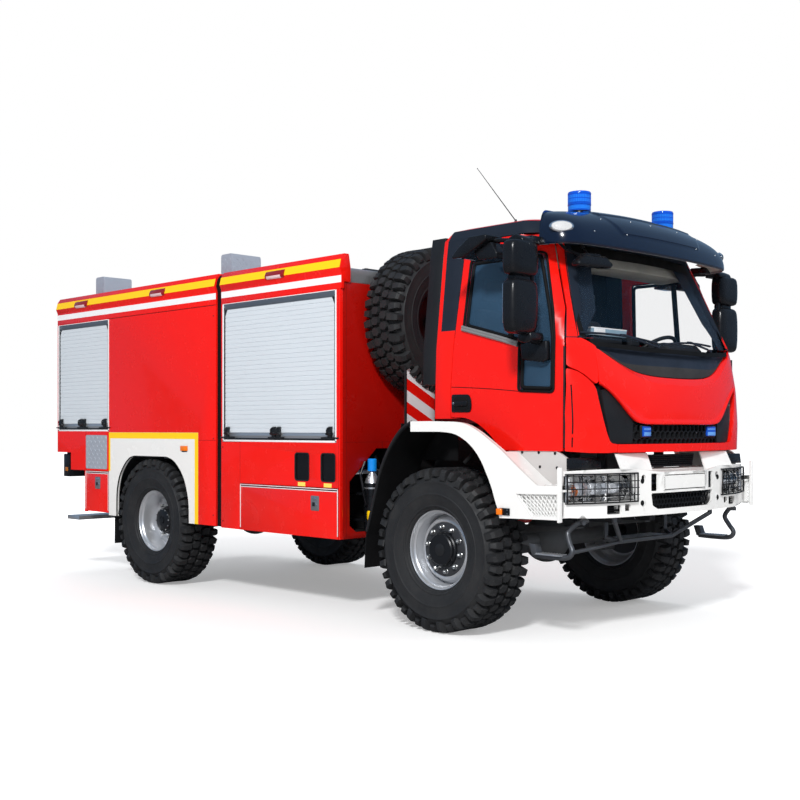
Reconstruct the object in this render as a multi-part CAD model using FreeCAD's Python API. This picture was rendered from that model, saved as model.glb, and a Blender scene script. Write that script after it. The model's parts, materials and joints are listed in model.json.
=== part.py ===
"""Four-wheel-drive fire engine: a tilting cab on a two-rail chassis, a two-module equipment body
with roller shutters, and a spare wheel carried between them.

Millimetres, +X forward, +Y to the truck's left, +Z up. Lengths along X are measured from the front
axle while the pieces are made; save() then moves every piece so that the origin lies on the ground
under the middle of the whole truck.
"""
import FreeCAD, Part
import math
import os
from FreeCAD import Vector

# ---- driving dimensions -------------------------------------------------------------------------
WHEELBASE = 3690.0
TYRE_RADIUS = 590.0
TYRE_HALF_WIDTH = 195.0
RIM_RADIUS = 288.0              # over the rim's flanges
RIM_HALF_WIDTH = 134.0
TRACK_HALF = 1050.0             # truck's middle to the middle of a tyre
KINGPIN_Y = 880.0
KINGPIN_RADIUS = 34.0
SPINDLE_RADIUS = 45.0
FRONT_DISC = 70.0               # wheel disc's face, outboard of the tyre's middle
REAR_DISC = -40.0
FIT = 0.06                      # radial clearance of a pin in its bore

RAIL_TOP = 1040.0
RAIL_DEPTH = 240.0
RAIL_WIDTH = 80.0
RAIL_Y = 425.0                  # truck's middle to the middle of a chassis rail
CHASSIS_FRONT = 1010.0
CHASSIS_REAR = -WHEELBASE - 1490.0
JAW_PIN_RADIUS = 20.0
SPRING_HALF = 700.0             # half the length of a leaf spring
SPRING_TOP = 755.0
AXLE_RADIUS = 70.0

CAB_REAR = -120.0
CAB_WALL = 45.0
CAB_SILL = 1310.0               # underside of the doors and of the front corners
APRON_SILL = 1345.0             # underside of the front apron between its corners
CAB_FLOOR = 1390.0              # underside of the footwell
CAB_FLOOR_HIGH = 1535.0         # underside of the floor above the front wheels
FLOOR_SHEET = 30.0
TILT_X = 950.0                  # cab tilt pin
TILT_Z = 1000.0
TILT_PIN_RADIUS = 22.0
TILT_ARM = 30.0                 # thickness of the cab's arm on that pin
APRON_JOINT = 1016.0            # the apron is what lies ahead of this and of the doors
APRON_TOP = 2062.0
LID_SHEET = 12.0                # thickness of the hood and the cowl
SEAM = 6.0                      # gap all round a closed door, lid or flap
HINGE_X = 1042.0                # door hinge pins
HINGE_Y = 1078.0
HINGE_PIN = 6.0
DOOR_HINGES = (1430.0, 1950.0)
LID_STOPS = ((-700.0, 1780.0), (700.0, 1780.0), (-300.0, 1620.0), (300.0, 1620.0))
GLASS_INSET = 12.0
GLASS = 6.0
REST = 0.3                      # gap under a piece that is only laid on another

HALF_WIDTH = 1250.0             # of the equipment body
BODY_FRONT = -984.0
BODY_REAR = -WHEELBASE - 1758.0
SPLIT_FRONT = -WHEELBASE + 1151.0           # rear face of the front module
SPLIT_REAR = SPLIT_FRONT - 78.0            # front face of the rear module
SKIN = 30.0
BODY_BOTTOM = 600.0
ROOF_UNDER = 2600.0
ROOF_SHEET = 30.0
ROOF_EDGE = HALF_WIDTH - 96.0              # where the deck meets the coving
RAIL_CROWN = 2817.0             # top of the coving along the roof's edge
FRONT_FLOOR = 1100.0            # underside of the main floor in the front module
REAR_FLOOR = 1250.0             # the same in the rear module, over the wheels
LOCKER_WALL_Y = 620.0           # inner wall of the low lockers beside the chassis
SHUTTER_SILL = 1349.0
REAR_SHUTTER_SILL = 1434.0
SHUTTER_HEAD = 2540.0
FRAME_BAR = 45.0
FLAP_PIN = 5.0
FLAP_HINGE_Y = HALF_WIDTH - 12.0
FLAP_HINGE_UP = 14.0            # hinge line above a flap's lower edge
LADDER_REACH = 120.0            # how far the rear ladder stands off the rear wall

BUMPER_NOSE = 1290.0
BUMPER_TOP = 1190.0
BUMPER_BOTTOM = 865.0
BUMPER_SHEET = 14.0
BUMPER_BACK = 1082.0
TOW_HOLE_RADIUS = 22.0
STEP_TUBE = 19.0

# ---- shared outlines: corners as (x, z) on a side, (y, z) on the front ------------------------------
DOOR = [(97, 2800), (61, 2220), (35, 1760), (39, 1540), (176, 1534), (301, 1490), (424, 1404),
        (510, CAB_SILL), (1022, CAB_SILL), (1026, 1530), (1028, 2019), (972, 2262), (815, 2679), (772, 2800)]
DOOR_WINDOW = [(162, 2662), (136, 2178), (620, 2052), (660, 2040), (660, 1722), (968, 1700), (961, 2062),
               (920, 2250), (788, 2662)]
WHEEL_CLEARANCE = [(-400, 1200), (-400, 1530), (176, 1530), (301, 1486), (424, 1401), (520, 1300), (520, 1200)]
PILLAR = [(1500, 2000), (1066, 2000), (1012, 2262), (850, 2679), (822, 2745), (822, 2900), (1500, 2900)]
HOOD = [(-924, 1998), (-780, 1985), (-520, 1886), (-300, 1850), (0, 1838), (300, 1850), (520, 1886),
        (780, 1985), (924, 1998), (930, 1757), (828, 1695), (605, 1545), (490, 1505), (-490, 1505),
        (-605, 1545), (-828, 1695), (-930, 1757)]
RECESS = [(-760, 1372), (760, 1372), (812, 1400), (905, 1720), (936, 1755), (930, 2006),
          (-930, 2006), (-936, 1755), (-905, 1720), (-812, 1400)]
COWL = [(-957, 2060), (0, 2026), (957, 2060), (930, 2006), (780, 1993), (520, 1894), (300, 1858), (0, 1846),
        (-300, 1858), (-520, 1894), (-780, 1993), (-930, 2006)]
WINDSCREEN = [(-962, 2066), (0, 2030), (962, 2066), (852, 2735), (-852, 2735)]
FENDER_TOP = [(-215, 1505), (200, 1505), (301, 1464), (424, 1374), (510, 1296), (560, 1254), (700, 1164), (800, 1096),
              (1075, 1086), (1075, 862), (577, 858)]
FENDER_ARCH = [(543, 976), (483, 1110), (407, 1245), (284, 1364), (110, 1433), (-160, 1436)]
REAR_ARCH = [(x - WHEELBASE, z) for x, z in (
    (-582, 600), (-582, 868), (-487, 1008), (-256, 1197), (250, 1197), (439, 1116), (562, 980), (647, 798), (653, 600))]
COVING = [(HALF_WIDTH - SKIN, 2545), (HALF_WIDTH, 2545), (HALF_WIDTH, 2662), (HALF_WIDTH + 18, 2703),
          (HALF_WIDTH, 2776), (HALF_WIDTH - 30, RAIL_CROWN), (HALF_WIDTH - 78, RAIL_CROWN), (ROOF_EDGE, 2718),
          (ROOF_EDGE, ROOF_UNDER), (HALF_WIDTH - SKIN, ROOF_UNDER)]

# height, nose at the middle, nose at the shoulder, half width, rear face
CAB_LEVELS = [
    (CAB_SILL - 2, 1270, 1195, 1098, CAB_REAR),
    (1500, 1275, 1205, 1092, CAB_REAR),
    (1750, 1272, 1195, 1086, CAB_REAR),
    (2040, 1235, 1150, 1076, CAB_REAR),
    (2720, 925, 850, 1000, CAB_REAR),
    (2830, 870, 800, 984, CAB_REAR),
    (2905, 800, 740, 930, CAB_REAR + 45),
    (2930, 720, 680, 840, CAB_REAR + 120),
]
SHOULDER_Y = 300.0              # from the side to where the nose's corner begins
SHOULDER_X = 195.0

# height, lip at the middle and at its end, half width, back at the middle and at its end
VISOR_LEVELS = [
    (2712, 1004, 902, 1050, 800, 862),
    (2800, 1028, 928, 1056, 740, 842),
    (2880, 1000, 905, 1045, 660, 826),
    (2955, 930, 845, 1000, 610, 800),
    (3000, 862, 800, 880, 620, 760),
]

# ---- derived places -----------------------------------------------------------------------------
AXLE_Z = TYRE_RADIUS
REAR_AXLE = -WHEELBASE
RAIL_BOTTOM = RAIL_TOP - RAIL_DEPTH
RAIL_IN = RAIL_Y - RAIL_WIDTH / 2
RAIL_OUT = RAIL_Y + RAIL_WIDTH / 2
ORIGIN_X = (BUMPER_NOSE + BODY_REAR - LADDER_REACH) / 2
INSIDE = HALF_WIDTH - SKIN
JAW_X = CHASSIS_REAR - 75.0
ARCH_REAR = REAR_AXLE - 725.0
ARCH_FRONT = REAR_AXLE + 803.0
FLAP_TOP = 990.0
REAR_FLAP_TOP = 1034.0
HATCHES = {"front": ((SPLIT_FRONT + 277, BODY_FRONT - 23), (BODY_BOTTOM, FLAP_TOP)),
           "rear": ((ARCH_REAR - 447, ARCH_REAR - SEAM), (631, REAR_FLAP_TOP))}

PLANES = {
    "x": (lambda a, b, h: Vector(h, a, b), Vector(1, 0, 0)),
    "y": (lambda a, b, h: Vector(a, h, b), Vector(0, 1, 0)),
    "z": (lambda a, b, h: Vector(a, b, h), Vector(0, 0, 1)),
}


# ---- small makers -------------------------------------------------------------------------------
def box(x, y, z):
    """A block from three (low, high) pairs."""
    return Part.makeBox(x[1] - x[0], y[1] - y[0], z[1] - z[0], Vector(x[0], y[0], z[0]))


def rect(a, b):
    """Corners of a rectangle from two (low, high) pairs."""
    return [(a[0], b[0]), (a[1], b[0]), (a[1], b[1]), (a[0], b[1])]


def slab(corners, axis, span, radius=0.0):
    """A flat outline, its corners rounded to radius, extruded along axis over span."""
    place, along = PLANES[axis]
    points = [place(a, b, span[0]) for a, b in corners]
    ends = []
    for i, corner in enumerate(points):
        before = (points[i - 1] - corner).normalize()
        after = (points[(i + 1) % len(points)] - corner).normalize()
        half = before.getAngle(after) / 2
        if radius <= 0 or math.pi / 2 - half < 0.02:
            ends.append((corner, None, corner))
            continue
        reach = radius / math.tan(half)
        middle = corner + (before + after).normalize() * (radius / math.sin(half) - radius)
        ends.append((corner + before * reach, middle, corner + after * reach))
    edges = []
    for i, (start, middle, end) in enumerate(ends):
        following = ends[(i + 1) % len(ends)][0]
        if middle is not None:
            edges.append(Part.Arc(start, middle, end).toShape())
        if end.distanceToPoint(following) > 1e-6:
            edges.append(Part.LineSegment(end, following).toShape())
    return Part.Face(Part.Wire(edges)).extrude(along * (span[1] - span[0]))


def rod(start, end, radius):
    start, end = Vector(*start), Vector(*end)
    return Part.makeCylinder(radius, (end - start).Length, start, end - start)


def tube_run(points, radius):
    """A bent round tube: straight runs joined by balls of the same radius."""
    pieces = [rod(a, b, radius) for a, b in zip(points, points[1:])]
    pieces += [Part.makeSphere(radius, Vector(*p)) for p in points[1:-1]]
    return join(pieces)


def join(pieces):
    return pieces[0].fuse(pieces[1:]).removeSplitter()


def mirrored(shape):
    return shape.mirror(Vector(0, 0, 0), Vector(0, 1, 0))


def both_sides(shape):
    """A piece of the right side and its twin on the left."""
    return [shape, mirrored(shape)]


def turned(profile, centre, outward):
    """A closed (radius, offset) profile turned about the wheel axis through centre."""
    axis = Vector(0, outward, 0)
    points = [Vector(*centre) + Vector(0, 0, 1) * r + axis * w for r, w in profile]
    return Part.Face(Part.makePolygon(points + points[:1])).revolve(Vector(*centre), axis, 360)


def save(node, shape):
    """Write one node, moved into the truck's own frame."""
    pieces = shape if isinstance(shape, list) else [shape]
    solids = [solid for piece in pieces for solid in piece.Solids]
    moved = Part.makeCompound(solids) if len(solids) > 1 else solids[0].copy()
    moved.translate(Vector(-ORIGIN_X, 0, 0))
    moved.exportStep(f"parts/{node}.step")


# ---- chassis ------------------------------------------------------------------------------------
def chassis_frame():
    """Two rails with crossmembers, spring hangers, cab tilt pins and a towing jaw at the tail."""
    pieces = []
    for x in (640, -1500, -2100, REAR_AXLE + 560, REAR_AXLE - 620, CHASSIS_REAR):
        pieces.append(box((x, x + 60), (-RAIL_IN, RAIL_IN), (RAIL_BOTTOM + 40, RAIL_TOP - 40)))
    right = [box((CHASSIS_REAR, CHASSIS_FRONT), (-RAIL_OUT, -RAIL_IN), (RAIL_BOTTOM, RAIL_TOP))]
    for axle in (0, REAR_AXLE):
        for x in (axle - SPRING_HALF, axle + SPRING_HALF):
            right.append(box((x - 40, x + 40), (-RAIL_OUT, -RAIL_IN), (SPRING_TOP, RAIL_BOTTOM)))
    right.append(rod((TILT_X, -RAIL_IN - 5, TILT_Z), (TILT_X, -RAIL_IN + TILT_ARM + 10, TILT_Z), TILT_PIN_RADIUS))
    for piece in right:
        pieces += both_sides(piece)
    jaw = box((CHASSIS_REAR - 120, CHASSIS_REAR), (-70, 70), (RAIL_BOTTOM + 50, RAIL_TOP - 50))
    mouth = box((CHASSIS_REAR - 130, CHASSIS_REAR - 30), (-45, 45), (RAIL_BOTTOM + 85, RAIL_TOP - 85))
    pin_hole = rod((JAW_X, 0, RAIL_BOTTOM), (JAW_X, 0, RAIL_TOP), JAW_PIN_RADIUS)
    pieces.append(jaw.cut(mouth).cut(pin_hole))
    return join(pieces)


def powertrain():
    """Engine as one block, with the gearbox, transfer case and shafts seen from below."""
    engine = box((-620, 600), (-300, 300), (790, 1290))
    gearbox = slab([(-620, 860), (-1050, 900), (-1050, 1020), (-860, 1030), (-620, 1160)], "y", (-150, 150))
    transfer = slab([(-1050, 700), (-1420, 700), (-1420, 980), (-1050, 1020)], "y", (-170, 170))
    mounts = both_sides(box((-320, -220), (-RAIL_IN, -299), (RAIL_BOTTOM + 40, RAIL_BOTTOM + 110)))
    rear_shaft = rod((-1400, 0, 790), (REAR_AXLE + 200, 0, AXLE_Z + 20), 45)
    front_shaft = rod((-1060, 90, 740), (-150, 60, AXLE_Z + 20), 38)
    return join([engine, gearbox, transfer, rear_shaft.cut(box((-9000, REAR_AXLE + 215), (-99, 99), (0, 999))),
                 front_shaft.cut(box((-195, 0), (-99, 199), (0, 999)))] + mounts)


def leaf_spring(axle):
    """A leaf pack from hanger to hanger, over a pad on the axle."""
    sag = SPRING_TOP - AXLE_Z - AXLE_RADIUS
    half = SPRING_HALF
    low = [(axle - half, SPRING_TOP - 14), (axle - half / 2, SPRING_TOP - sag * 0.6), (axle - 90, SPRING_TOP - sag),
           (axle + 90, SPRING_TOP - sag), (axle + half / 2, SPRING_TOP - sag * 0.6), (axle + half, SPRING_TOP - 14)]
    high = [(axle + half, SPRING_TOP), (axle + 90, SPRING_TOP - 18), (axle - 90, SPRING_TOP - 18),
            (axle - half, SPRING_TOP)]
    return slab(low + high, "y", (-RAIL_Y - 32, -RAIL_Y + 32))


def front_axle():
    """Driven steering axle: tube, differential, springs, and an open yoke with its kingpin each end."""
    yoke_end = KINGPIN_Y + 40
    tube_end = KINGPIN_Y - 92
    pieces = [rod((0, -tube_end, AXLE_Z), (0, tube_end, AXLE_Z), AXLE_RADIUS),
              Part.makeSphere(185, Vector(0, 60, AXLE_Z))]
    plate = slab(rect((-55, 55), (tube_end - 10, tube_end)), "z", (AXLE_Z - 140, AXLE_Z + 140))
    ears = [slab(rect((-55, 55), (tube_end - 10, yoke_end)), "z", (AXLE_Z + low, AXLE_Z + low + 28), 20)
            for low in (-140, 112)]
    hole = rod((0, KINGPIN_Y, AXLE_Z - 200), (0, KINGPIN_Y, AXLE_Z + 200), KINGPIN_RADIUS + FIT)
    yoke = join([plate] + ears).cut(hole)
    pieces += both_sides(yoke) + both_sides(leaf_spring(0))
    return join(pieces)


def rear_axle():
    reach = TRACK_HALF + REAR_DISC + 60
    pieces = [rod((REAR_AXLE, -TRACK_HALF + 170, AXLE_Z), (REAR_AXLE, TRACK_HALF - 170, AXLE_Z), AXLE_RADIUS),
              rod((REAR_AXLE, -reach, AXLE_Z), (REAR_AXLE, reach, AXLE_Z), SPINDLE_RADIUS),
              Part.makeSphere(200, Vector(REAR_AXLE, 0, AXLE_Z))]
    pieces += both_sides(leaf_spring(REAR_AXLE))
    return join(pieces)


def knuckle(side):
    """Steering knuckle with its kingpin and the spindle that the hub turns on."""
    block = box((-50, 50), (KINGPIN_Y - 45, KINGPIN_Y + 45), (AXLE_Z - 106, AXLE_Z + 106))
    pin = rod((0, KINGPIN_Y, AXLE_Z - 145), (0, KINGPIN_Y, AXLE_Z + 145), KINGPIN_RADIUS)
    spindle = rod((0, KINGPIN_Y, AXLE_Z), (0, TRACK_HALF + FRONT_DISC + 50, AXLE_Z), SPINDLE_RADIUS)
    shape = join([block, pin, spindle])
    return shape if side > 0 else mirrored(shape)


# ---- wheels -------------------------------------------------------------------------------------
def tyre(centre, outward):
    half = TYRE_HALF_WIDTH
    wall = [(RIM_RADIUS - 30, half - 87), (RIM_RADIUS + 4, half - 73), (RIM_RADIUS + 40, half - 34),
            (RIM_RADIUS + 85, half - 10), (TYRE_RADIUS - 160, half), (TYRE_RADIUS - 80, half - 4),
            (TYRE_RADIUS - 30, half - 14), (TYRE_RADIUS - 8, half - 32), (TYRE_RADIUS, half - 75)]
    profile = wall + [(r, -w) for r, w in reversed(wall)]
    return turned(profile, centre, outward)


def rim(centre, outward, disc, hub_reach=95.0):
    """Barrel with flanges, a disc at its place across the width, and a hub with its bore."""
    half = RIM_HALF_WIDTH
    r = RIM_RADIUS
    barrel = turned([(r, half), (r, half - 11), (r - 30, half - 25), (r - 30, 25 - half), (r, 11 - half), (r, -half),
                     (r - 16, -half), (r - 44, 30 - half), (r - 44, half - 30), (r - 16, half)], centre, outward)
    bore = SPINDLE_RADIUS + FIT
    dish = turned([(r - 43, disc - 14), (r - 43, disc - 28), (r - 90, disc), (bore, disc), (bore, disc + 14),
                   (r - 84, disc + 14)], centre, outward)
    hub = turned([(bore, disc - 80), (125, disc - 80), (135, disc), (bore, disc)], centre, outward)
    cap = turned([(bore, disc + 14), (88, disc + 14), (84, disc + hub_reach - 12), (70, disc + hub_reach),
                  (1, disc + hub_reach), (1, disc + hub_reach - 14), (bore, disc + hub_reach - 14)], centre, outward)
    return join([barrel, dish, hub, cap])


# ---- front of the truck -------------------------------------------------------------------------
def bow(nose):
    """Plan curve of the bumper's face, set back from its nose, as points from right to left."""
    half = [(0, 0), (-6, 260), (-34, 500), (-48, 620), (-78, 810), (-128, 980), (-196, 1140)]
    return [Vector(nose + x, -y, 0) for x, y in reversed(half)] + [Vector(nose + x, y, 0) for x, y in half[1:]]


def bowed_block(nose, back, z):
    """A block with the bumper's bowed face in front and a flat back."""
    curve = Part.BSplineCurve()
    points = bow(nose)
    curve.interpolate(points)
    first, last = points[0], points[-1]
    corners = [last, Vector(back, last.y, 0), Vector(back, first.y, 0), first]
    edges = [curve.toShape()] + [Part.LineSegment(a, b).toShape() for a, b in zip(corners, corners[1:])]
    face = Part.Face(Part.Wire(edges))
    face.translate(Vector(0, 0, z[0]))
    return face.extrude(Vector(0, 0, z[1] - z[0]))


LAMP_OPENING = [(565, 975), (1145, 975), (1145, 1150), (585, 1150)]


def front_bumper():
    """Folded steel bumper, open at the back, with its lamp pockets, holes, grille slot and brackets."""
    shell = bowed_block(BUMPER_NOSE, BUMPER_BACK, (BUMPER_BOTTOM, BUMPER_TOP))
    hollow = bowed_block(BUMPER_NOSE - BUMPER_SHEET, BUMPER_NOSE - 300,
                         (BUMPER_BOTTOM + BUMPER_SHEET, BUMPER_TOP - BUMPER_SHEET))
    bumper = shell.cut(hollow.common(box((0, 2000), (-1128, 1128), (0, 2000))))
    deep = (900, 1400)
    cuts = [slab([(-a, b) for a, b in LAMP_OPENING], "x", deep, 18),
            slab(rect((-830, -700), (888, 948)), "x", deep, 8),
            slab(rect((-665, -610), (905, 950)), "x", deep, 6),
            slab(rect((-400, -330), (1030, 1150)), "x", deep, 8),
            rod((900, -478, 1122), (1400, -478, 1122), TOW_HOLE_RADIUS),
            rod((900, -478, 948), (1400, -478, 948), TOW_HOLE_RADIUS)]
    for piece in cuts:
        for one in both_sides(piece):
            bumper = bumper.cut(one)
    bumper = bumper.cut(slab([(-400, 1015), (400, 1015), (385, 930), (330, 905), (-330, 905), (-385, 930)], "x", deep, 12))
    plate = box((BUMPER_NOSE - 20, BUMPER_NOSE), (-272, 272), (1030, 1142))
    pieces = [bumper, plate]
    bracket = slab([(1188, BUMPER_TOP + 100), (1236, BUMPER_TOP - 4), (1248, BUMPER_TOP - 4), (1198, BUMPER_TOP + 100)],
                   "y", (-720, -345))
    stay = box((CHASSIS_FRONT - 30, BUMPER_NOSE - 30), (-RAIL_OUT - 12, -RAIL_OUT), (900, 985))
    for piece in (bracket, stay):
        pieces += both_sides(piece)
    return join(pieces)


def lower_grille():
    """Black mesh panel and side valances that stand on the bumper, under the cab."""
    mesh = slab([(-318, 1275), (318, 1275), (290, BUMPER_TOP), (-290, BUMPER_TOP)], "x", (1150, 1166))
    valance = slab([(BUMPER_BACK, 1265), (1100, 1265), (1110, BUMPER_TOP), (BUMPER_BACK, BUMPER_TOP)], "y",
                   (-1110, -755))
    return [mesh] + both_sides(valance)


def headlamp_volume(nose, grow):
    opening = [(-a, b) for a, b in LAMP_OPENING]
    opening = [(y + (grow if y > -900 else -grow), z + (grow if z > 1100 else -grow)) for y, z in opening]
    return bowed_block(nose, nose - 300, (900, 1300)).common(slab(opening, "x", (900, 1400), 18))


def lamps():
    """Headlamp pods in the bumper and the tail lamp clusters under the rear corners."""
    pod = headlamp_volume(BUMPER_NOSE - 6, -REST)
    pod = pod.common(box((BUMPER_BACK + 2, 1400), (-1127, 0), (900, 1300)))
    x = BODY_REAR + 44
    tail = slab(rect((x, x + 142), (960, 1200)), "y", (-HALF_WIDTH + 35, -HALF_WIDTH + 265), 12)
    tail = join([tail, box((x + 44, x + 104), (-HALF_WIDTH + 60, -HALF_WIDTH + 240), (1195, REAR_FLOOR))])
    return both_sides(pod) + both_sides(tail)


def front_steps():
    """Round-tube access steps under the bumper's ends and the guard with its step in the middle."""
    step = [(1112, -955, BUMPER_BOTTOM), (1112, -955, 830), (1030, -945, 760), (985, -1000, 640),
            (965, -1045, 600), (800, -1045, 600), (752, -1045, 675)]
    tread = box((800, 960), (-1085, -1000), (600 + STEP_TUBE - 4, 600 + STEP_TUBE + 2))
    pieces = both_sides(join([tube_run(step, STEP_TUBE), tread]))
    guard_z = 655
    cross = [(1120, -620, BUMPER_BOTTOM), (1120, -620, BUMPER_BOTTOM - 40), (970, -330, guard_z),
             (970, 330, guard_z), (1120, 620, BUMPER_BOTTOM - 40), (1120, 620, BUMPER_BOTTOM)]
    plate = box((800, 965), (-300, 300), (guard_z + STEP_TUBE - 6, guard_z + STEP_TUBE))
    stays = both_sides(tube_run([(970, -330, guard_z), (880, -RAIL_Y, guard_z + 30), (880, -RAIL_Y, RAIL_BOTTOM)],
                                STEP_TUBE))
    pieces.append(join([tube_run(cross, STEP_TUBE), plate] + stays))
    return pieces



# ---- wings and wheel arches ---------------------------------------------------------------------
def front_fender():
    """White wing over a front wheel, with the entry step pocket ahead of the wheel."""
    inner = -1065.0
    face = (-HALF_WIDTH, inner)
    wing = slab(FENDER_TOP + FENDER_ARCH, "y", face)
    under = slab([(-230, 1480), (110, 1470), (300, 1400), (430, 1275), (510, 1130), (570, 985), (600, 858),
                  (1300, 858), (1300, 700), (-230, 700)], "y", (-HALF_WIDTH + 14, inner - 14))
    wing = wing.cut(under.cut(box((600, 1300), (-2000, 0), (0, 2000))))
    pocket = slab([(640, 1180), (830, 1060), (1063, 1060), (1063, 1300), (640, 1300)], "y", (-2000, -1090))
    wing = wing.cut(pocket)
    step_box = box((730, 1063), (-HALF_WIDTH + 12, inner - 12), (872, 1046))
    wing = wing.cut(step_box)
    back = slab([(560, 1046), (1075, 1046), (1075, CAB_SILL - 48), (TILT_X, CAB_SILL - 10), (560, CAB_SILL - 10)], "y",
                (-1090, inner))
    front = box((1063, 1075), (-HALF_WIDTH, inner), (850, 1204))
    stay = box((900, 950), (inner - 1, -RAIL_OUT), (1100, 1125))
    drop = box((900, 950), (-RAIL_OUT - 12, -RAIL_OUT), (960, 1125))
    for low, high in ((850, 930), (930, 1010), (1010, 1090), (1090, 1190)):
        across = math.sqrt(TYRE_RADIUS ** 2 - (low - AXLE_Z) ** 2)
        reach = math.hypot(across, TRACK_HALF + TYRE_HALF_WIDTH - KINGPIN_Y) + SEAM + 2
        wing = wing.cut(rod((0, -KINGPIN_Y, low), (0, -KINGPIN_Y, high), reach))
    return join([wing, back, front, stay, drop])


def front_liner():
    """Black liner over a front wheel with the flap behind it, carried by a stay from the chassis."""
    outer = [(-215, 1503), (-256, 1497), (-393, 1414), (-540, 1265), (-650, 1076), (-712, 886), (-742, 658),
             (-756, 398)]
    inner = [(-742, 398), (-728, 658), (-698, 886), (-634, 1076), (-524, 1258), (-382, 1400), (-250, 1470),
             (-215, 1475)]
    flap = slab(outer + inner, "y", (-HALF_WIDTH + 6, -840))
    roof = slab([(-215, 1503), (-215, 1475), (110, 1475), (200, 1452), (200, 1503)], "y", (-1064, -840))
    stay = box((-200, -150), (-850, -RAIL_IN), (1475, 1500))
    post = box((-200, -150), (-RAIL_OUT, -RAIL_IN), (RAIL_TOP, 1500))
    return join([flap, roof, stay, post])


def rear_liner():
    """Black wheel box behind the arch panel, with its mud flap."""
    path = [(-650, 610), (-650, 950), (-510, 1130), (-320, 1222), (300, 1222), (510, 1130), (670, 900), (670, 610)]
    inside = [(658, 610), (658, 895), (502, 1119), (297, 1210), (-317, 1210), (-502, 1119), (-638, 945), (-638, 610)]
    liner = slab([(REAR_AXLE + x, z) for x, z in path + inside], "y", (-INSIDE, -820))
    flap = box((REAR_AXLE - 702, REAR_AXLE - 690), (-INSIDE + 20, -840), (330, 640))
    tie = box((REAR_AXLE - 702, REAR_AXLE - 638), (-INSIDE + 20, -840), (628, 640))
    return join([liner, flap, tie])


def rear_arch_panel():
    opening = slab(REAR_ARCH, "y", (-2000, 0))
    panel = slab(rect((ARCH_REAR, ARCH_FRONT), (BODY_BOTTOM + 8, 1425)), "y", (-HALF_WIDTH, -INSIDE)).cut(opening)
    for hole in flap_pins("rear", FLAP_PIN + FIT, 10):
        panel = panel.cut(hole)
    return panel


# ---- equipment body -----------------------------------------------------------------------------
def side_panel():
    """Skins of one side: the front module with its openings and the stepped rear module."""
    y = (-HALF_WIDTH, -INSIDE)
    front = slab(rect((SPLIT_FRONT, BODY_FRONT), (BODY_BOTTOM, COVING[0][1])), "y", y)
    front = front.cut(opening_block(SHUTTERS["front"]))
    front = front.cut(flap_opening("front"))
    for x in ((-1535, -1352), (-1212, -1037)):
        front = front.cut(slab(rect(x, (1040, 1268)), "y", (-2000, 0), 28))
    rear = slab([(BODY_REAR, COVING[0][1]), (BODY_REAR, 1216), (BODY_REAR + 281, 1216), (BODY_REAR + 281, 1039),
                 (ARCH_REAR - 470, 1039), (ARCH_REAR - 470, 620), (ARCH_REAR, 620), (ARCH_REAR, 1425),
                 (ARCH_FRONT, 1425), (ARCH_FRONT, BODY_BOTTOM + 8),
                 (SPLIT_REAR, BODY_BOTTOM + 8), (SPLIT_REAR, COVING[0][1])], "y", y)
    rear = rear.cut(opening_block(SHUTTERS["rear"]))
    rear = rear.cut(flap_opening("rear"))
    for hole in flap_pins("front", FLAP_PIN + FIT, 10):
        front = front.cut(hole)
    for hole in flap_pins("rear", FLAP_PIN + FIT, 10):
        rear = rear.cut(hole)
    return [front, rear]


SHUTTERS = {"front": ((SPLIT_FRONT + 21, BODY_FRONT - 41), (SHUTTER_SILL, SHUTTER_HEAD)),
            "rear": ((BODY_REAR + 16, ARCH_REAR + 2), (REAR_SHUTTER_SILL, SHUTTER_HEAD))}


def opening_block(bounds):
    return box(bounds[0], (-2000, 0), bounds[1])


def flap_opening(which):
    x, z = HATCHES[which]
    return box((x[0] - SEAM, x[1] + SEAM), (-2000, 0), (z[0] - 50, z[1] + SEAM))


def roller_shutter(bounds, y):
    """Guide frame and closed curtain that fill a side opening."""
    frame = box(bounds[0], (y[0], y[1]), bounds[1])
    clear = [(lo + FRAME_BAR, hi - FRAME_BAR) for lo, hi in bounds]
    frame = frame.cut(box(clear[0], (-2000, 0), clear[1]))
    curtain = box(clear[0], (y[0] + 10, y[0] + 24), clear[1])
    return join([frame, curtain])


def roller_shutters():
    side = [roller_shutter(bounds, (-HALF_WIDTH - 2, -INSIDE)) for bounds in SHUTTERS.values()]
    pieces = [one for piece in side for one in both_sides(piece)]
    y, z = REAR_OPENING
    frame = box((BODY_REAR - 2, BODY_REAR + SKIN), y, z)
    clear = [(lo + FRAME_BAR, hi - FRAME_BAR) for lo, hi in (y, z)]
    frame = frame.cut(box((BODY_REAR - 99, BODY_REAR + 99), clear[0], clear[1]))
    curtain = box((BODY_REAR + 8, BODY_REAR + 22), clear[0], clear[1])
    return pieces + [join([frame, curtain])]


REAR_OPENING = ((-700, 700), (1300, 2500))


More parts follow.
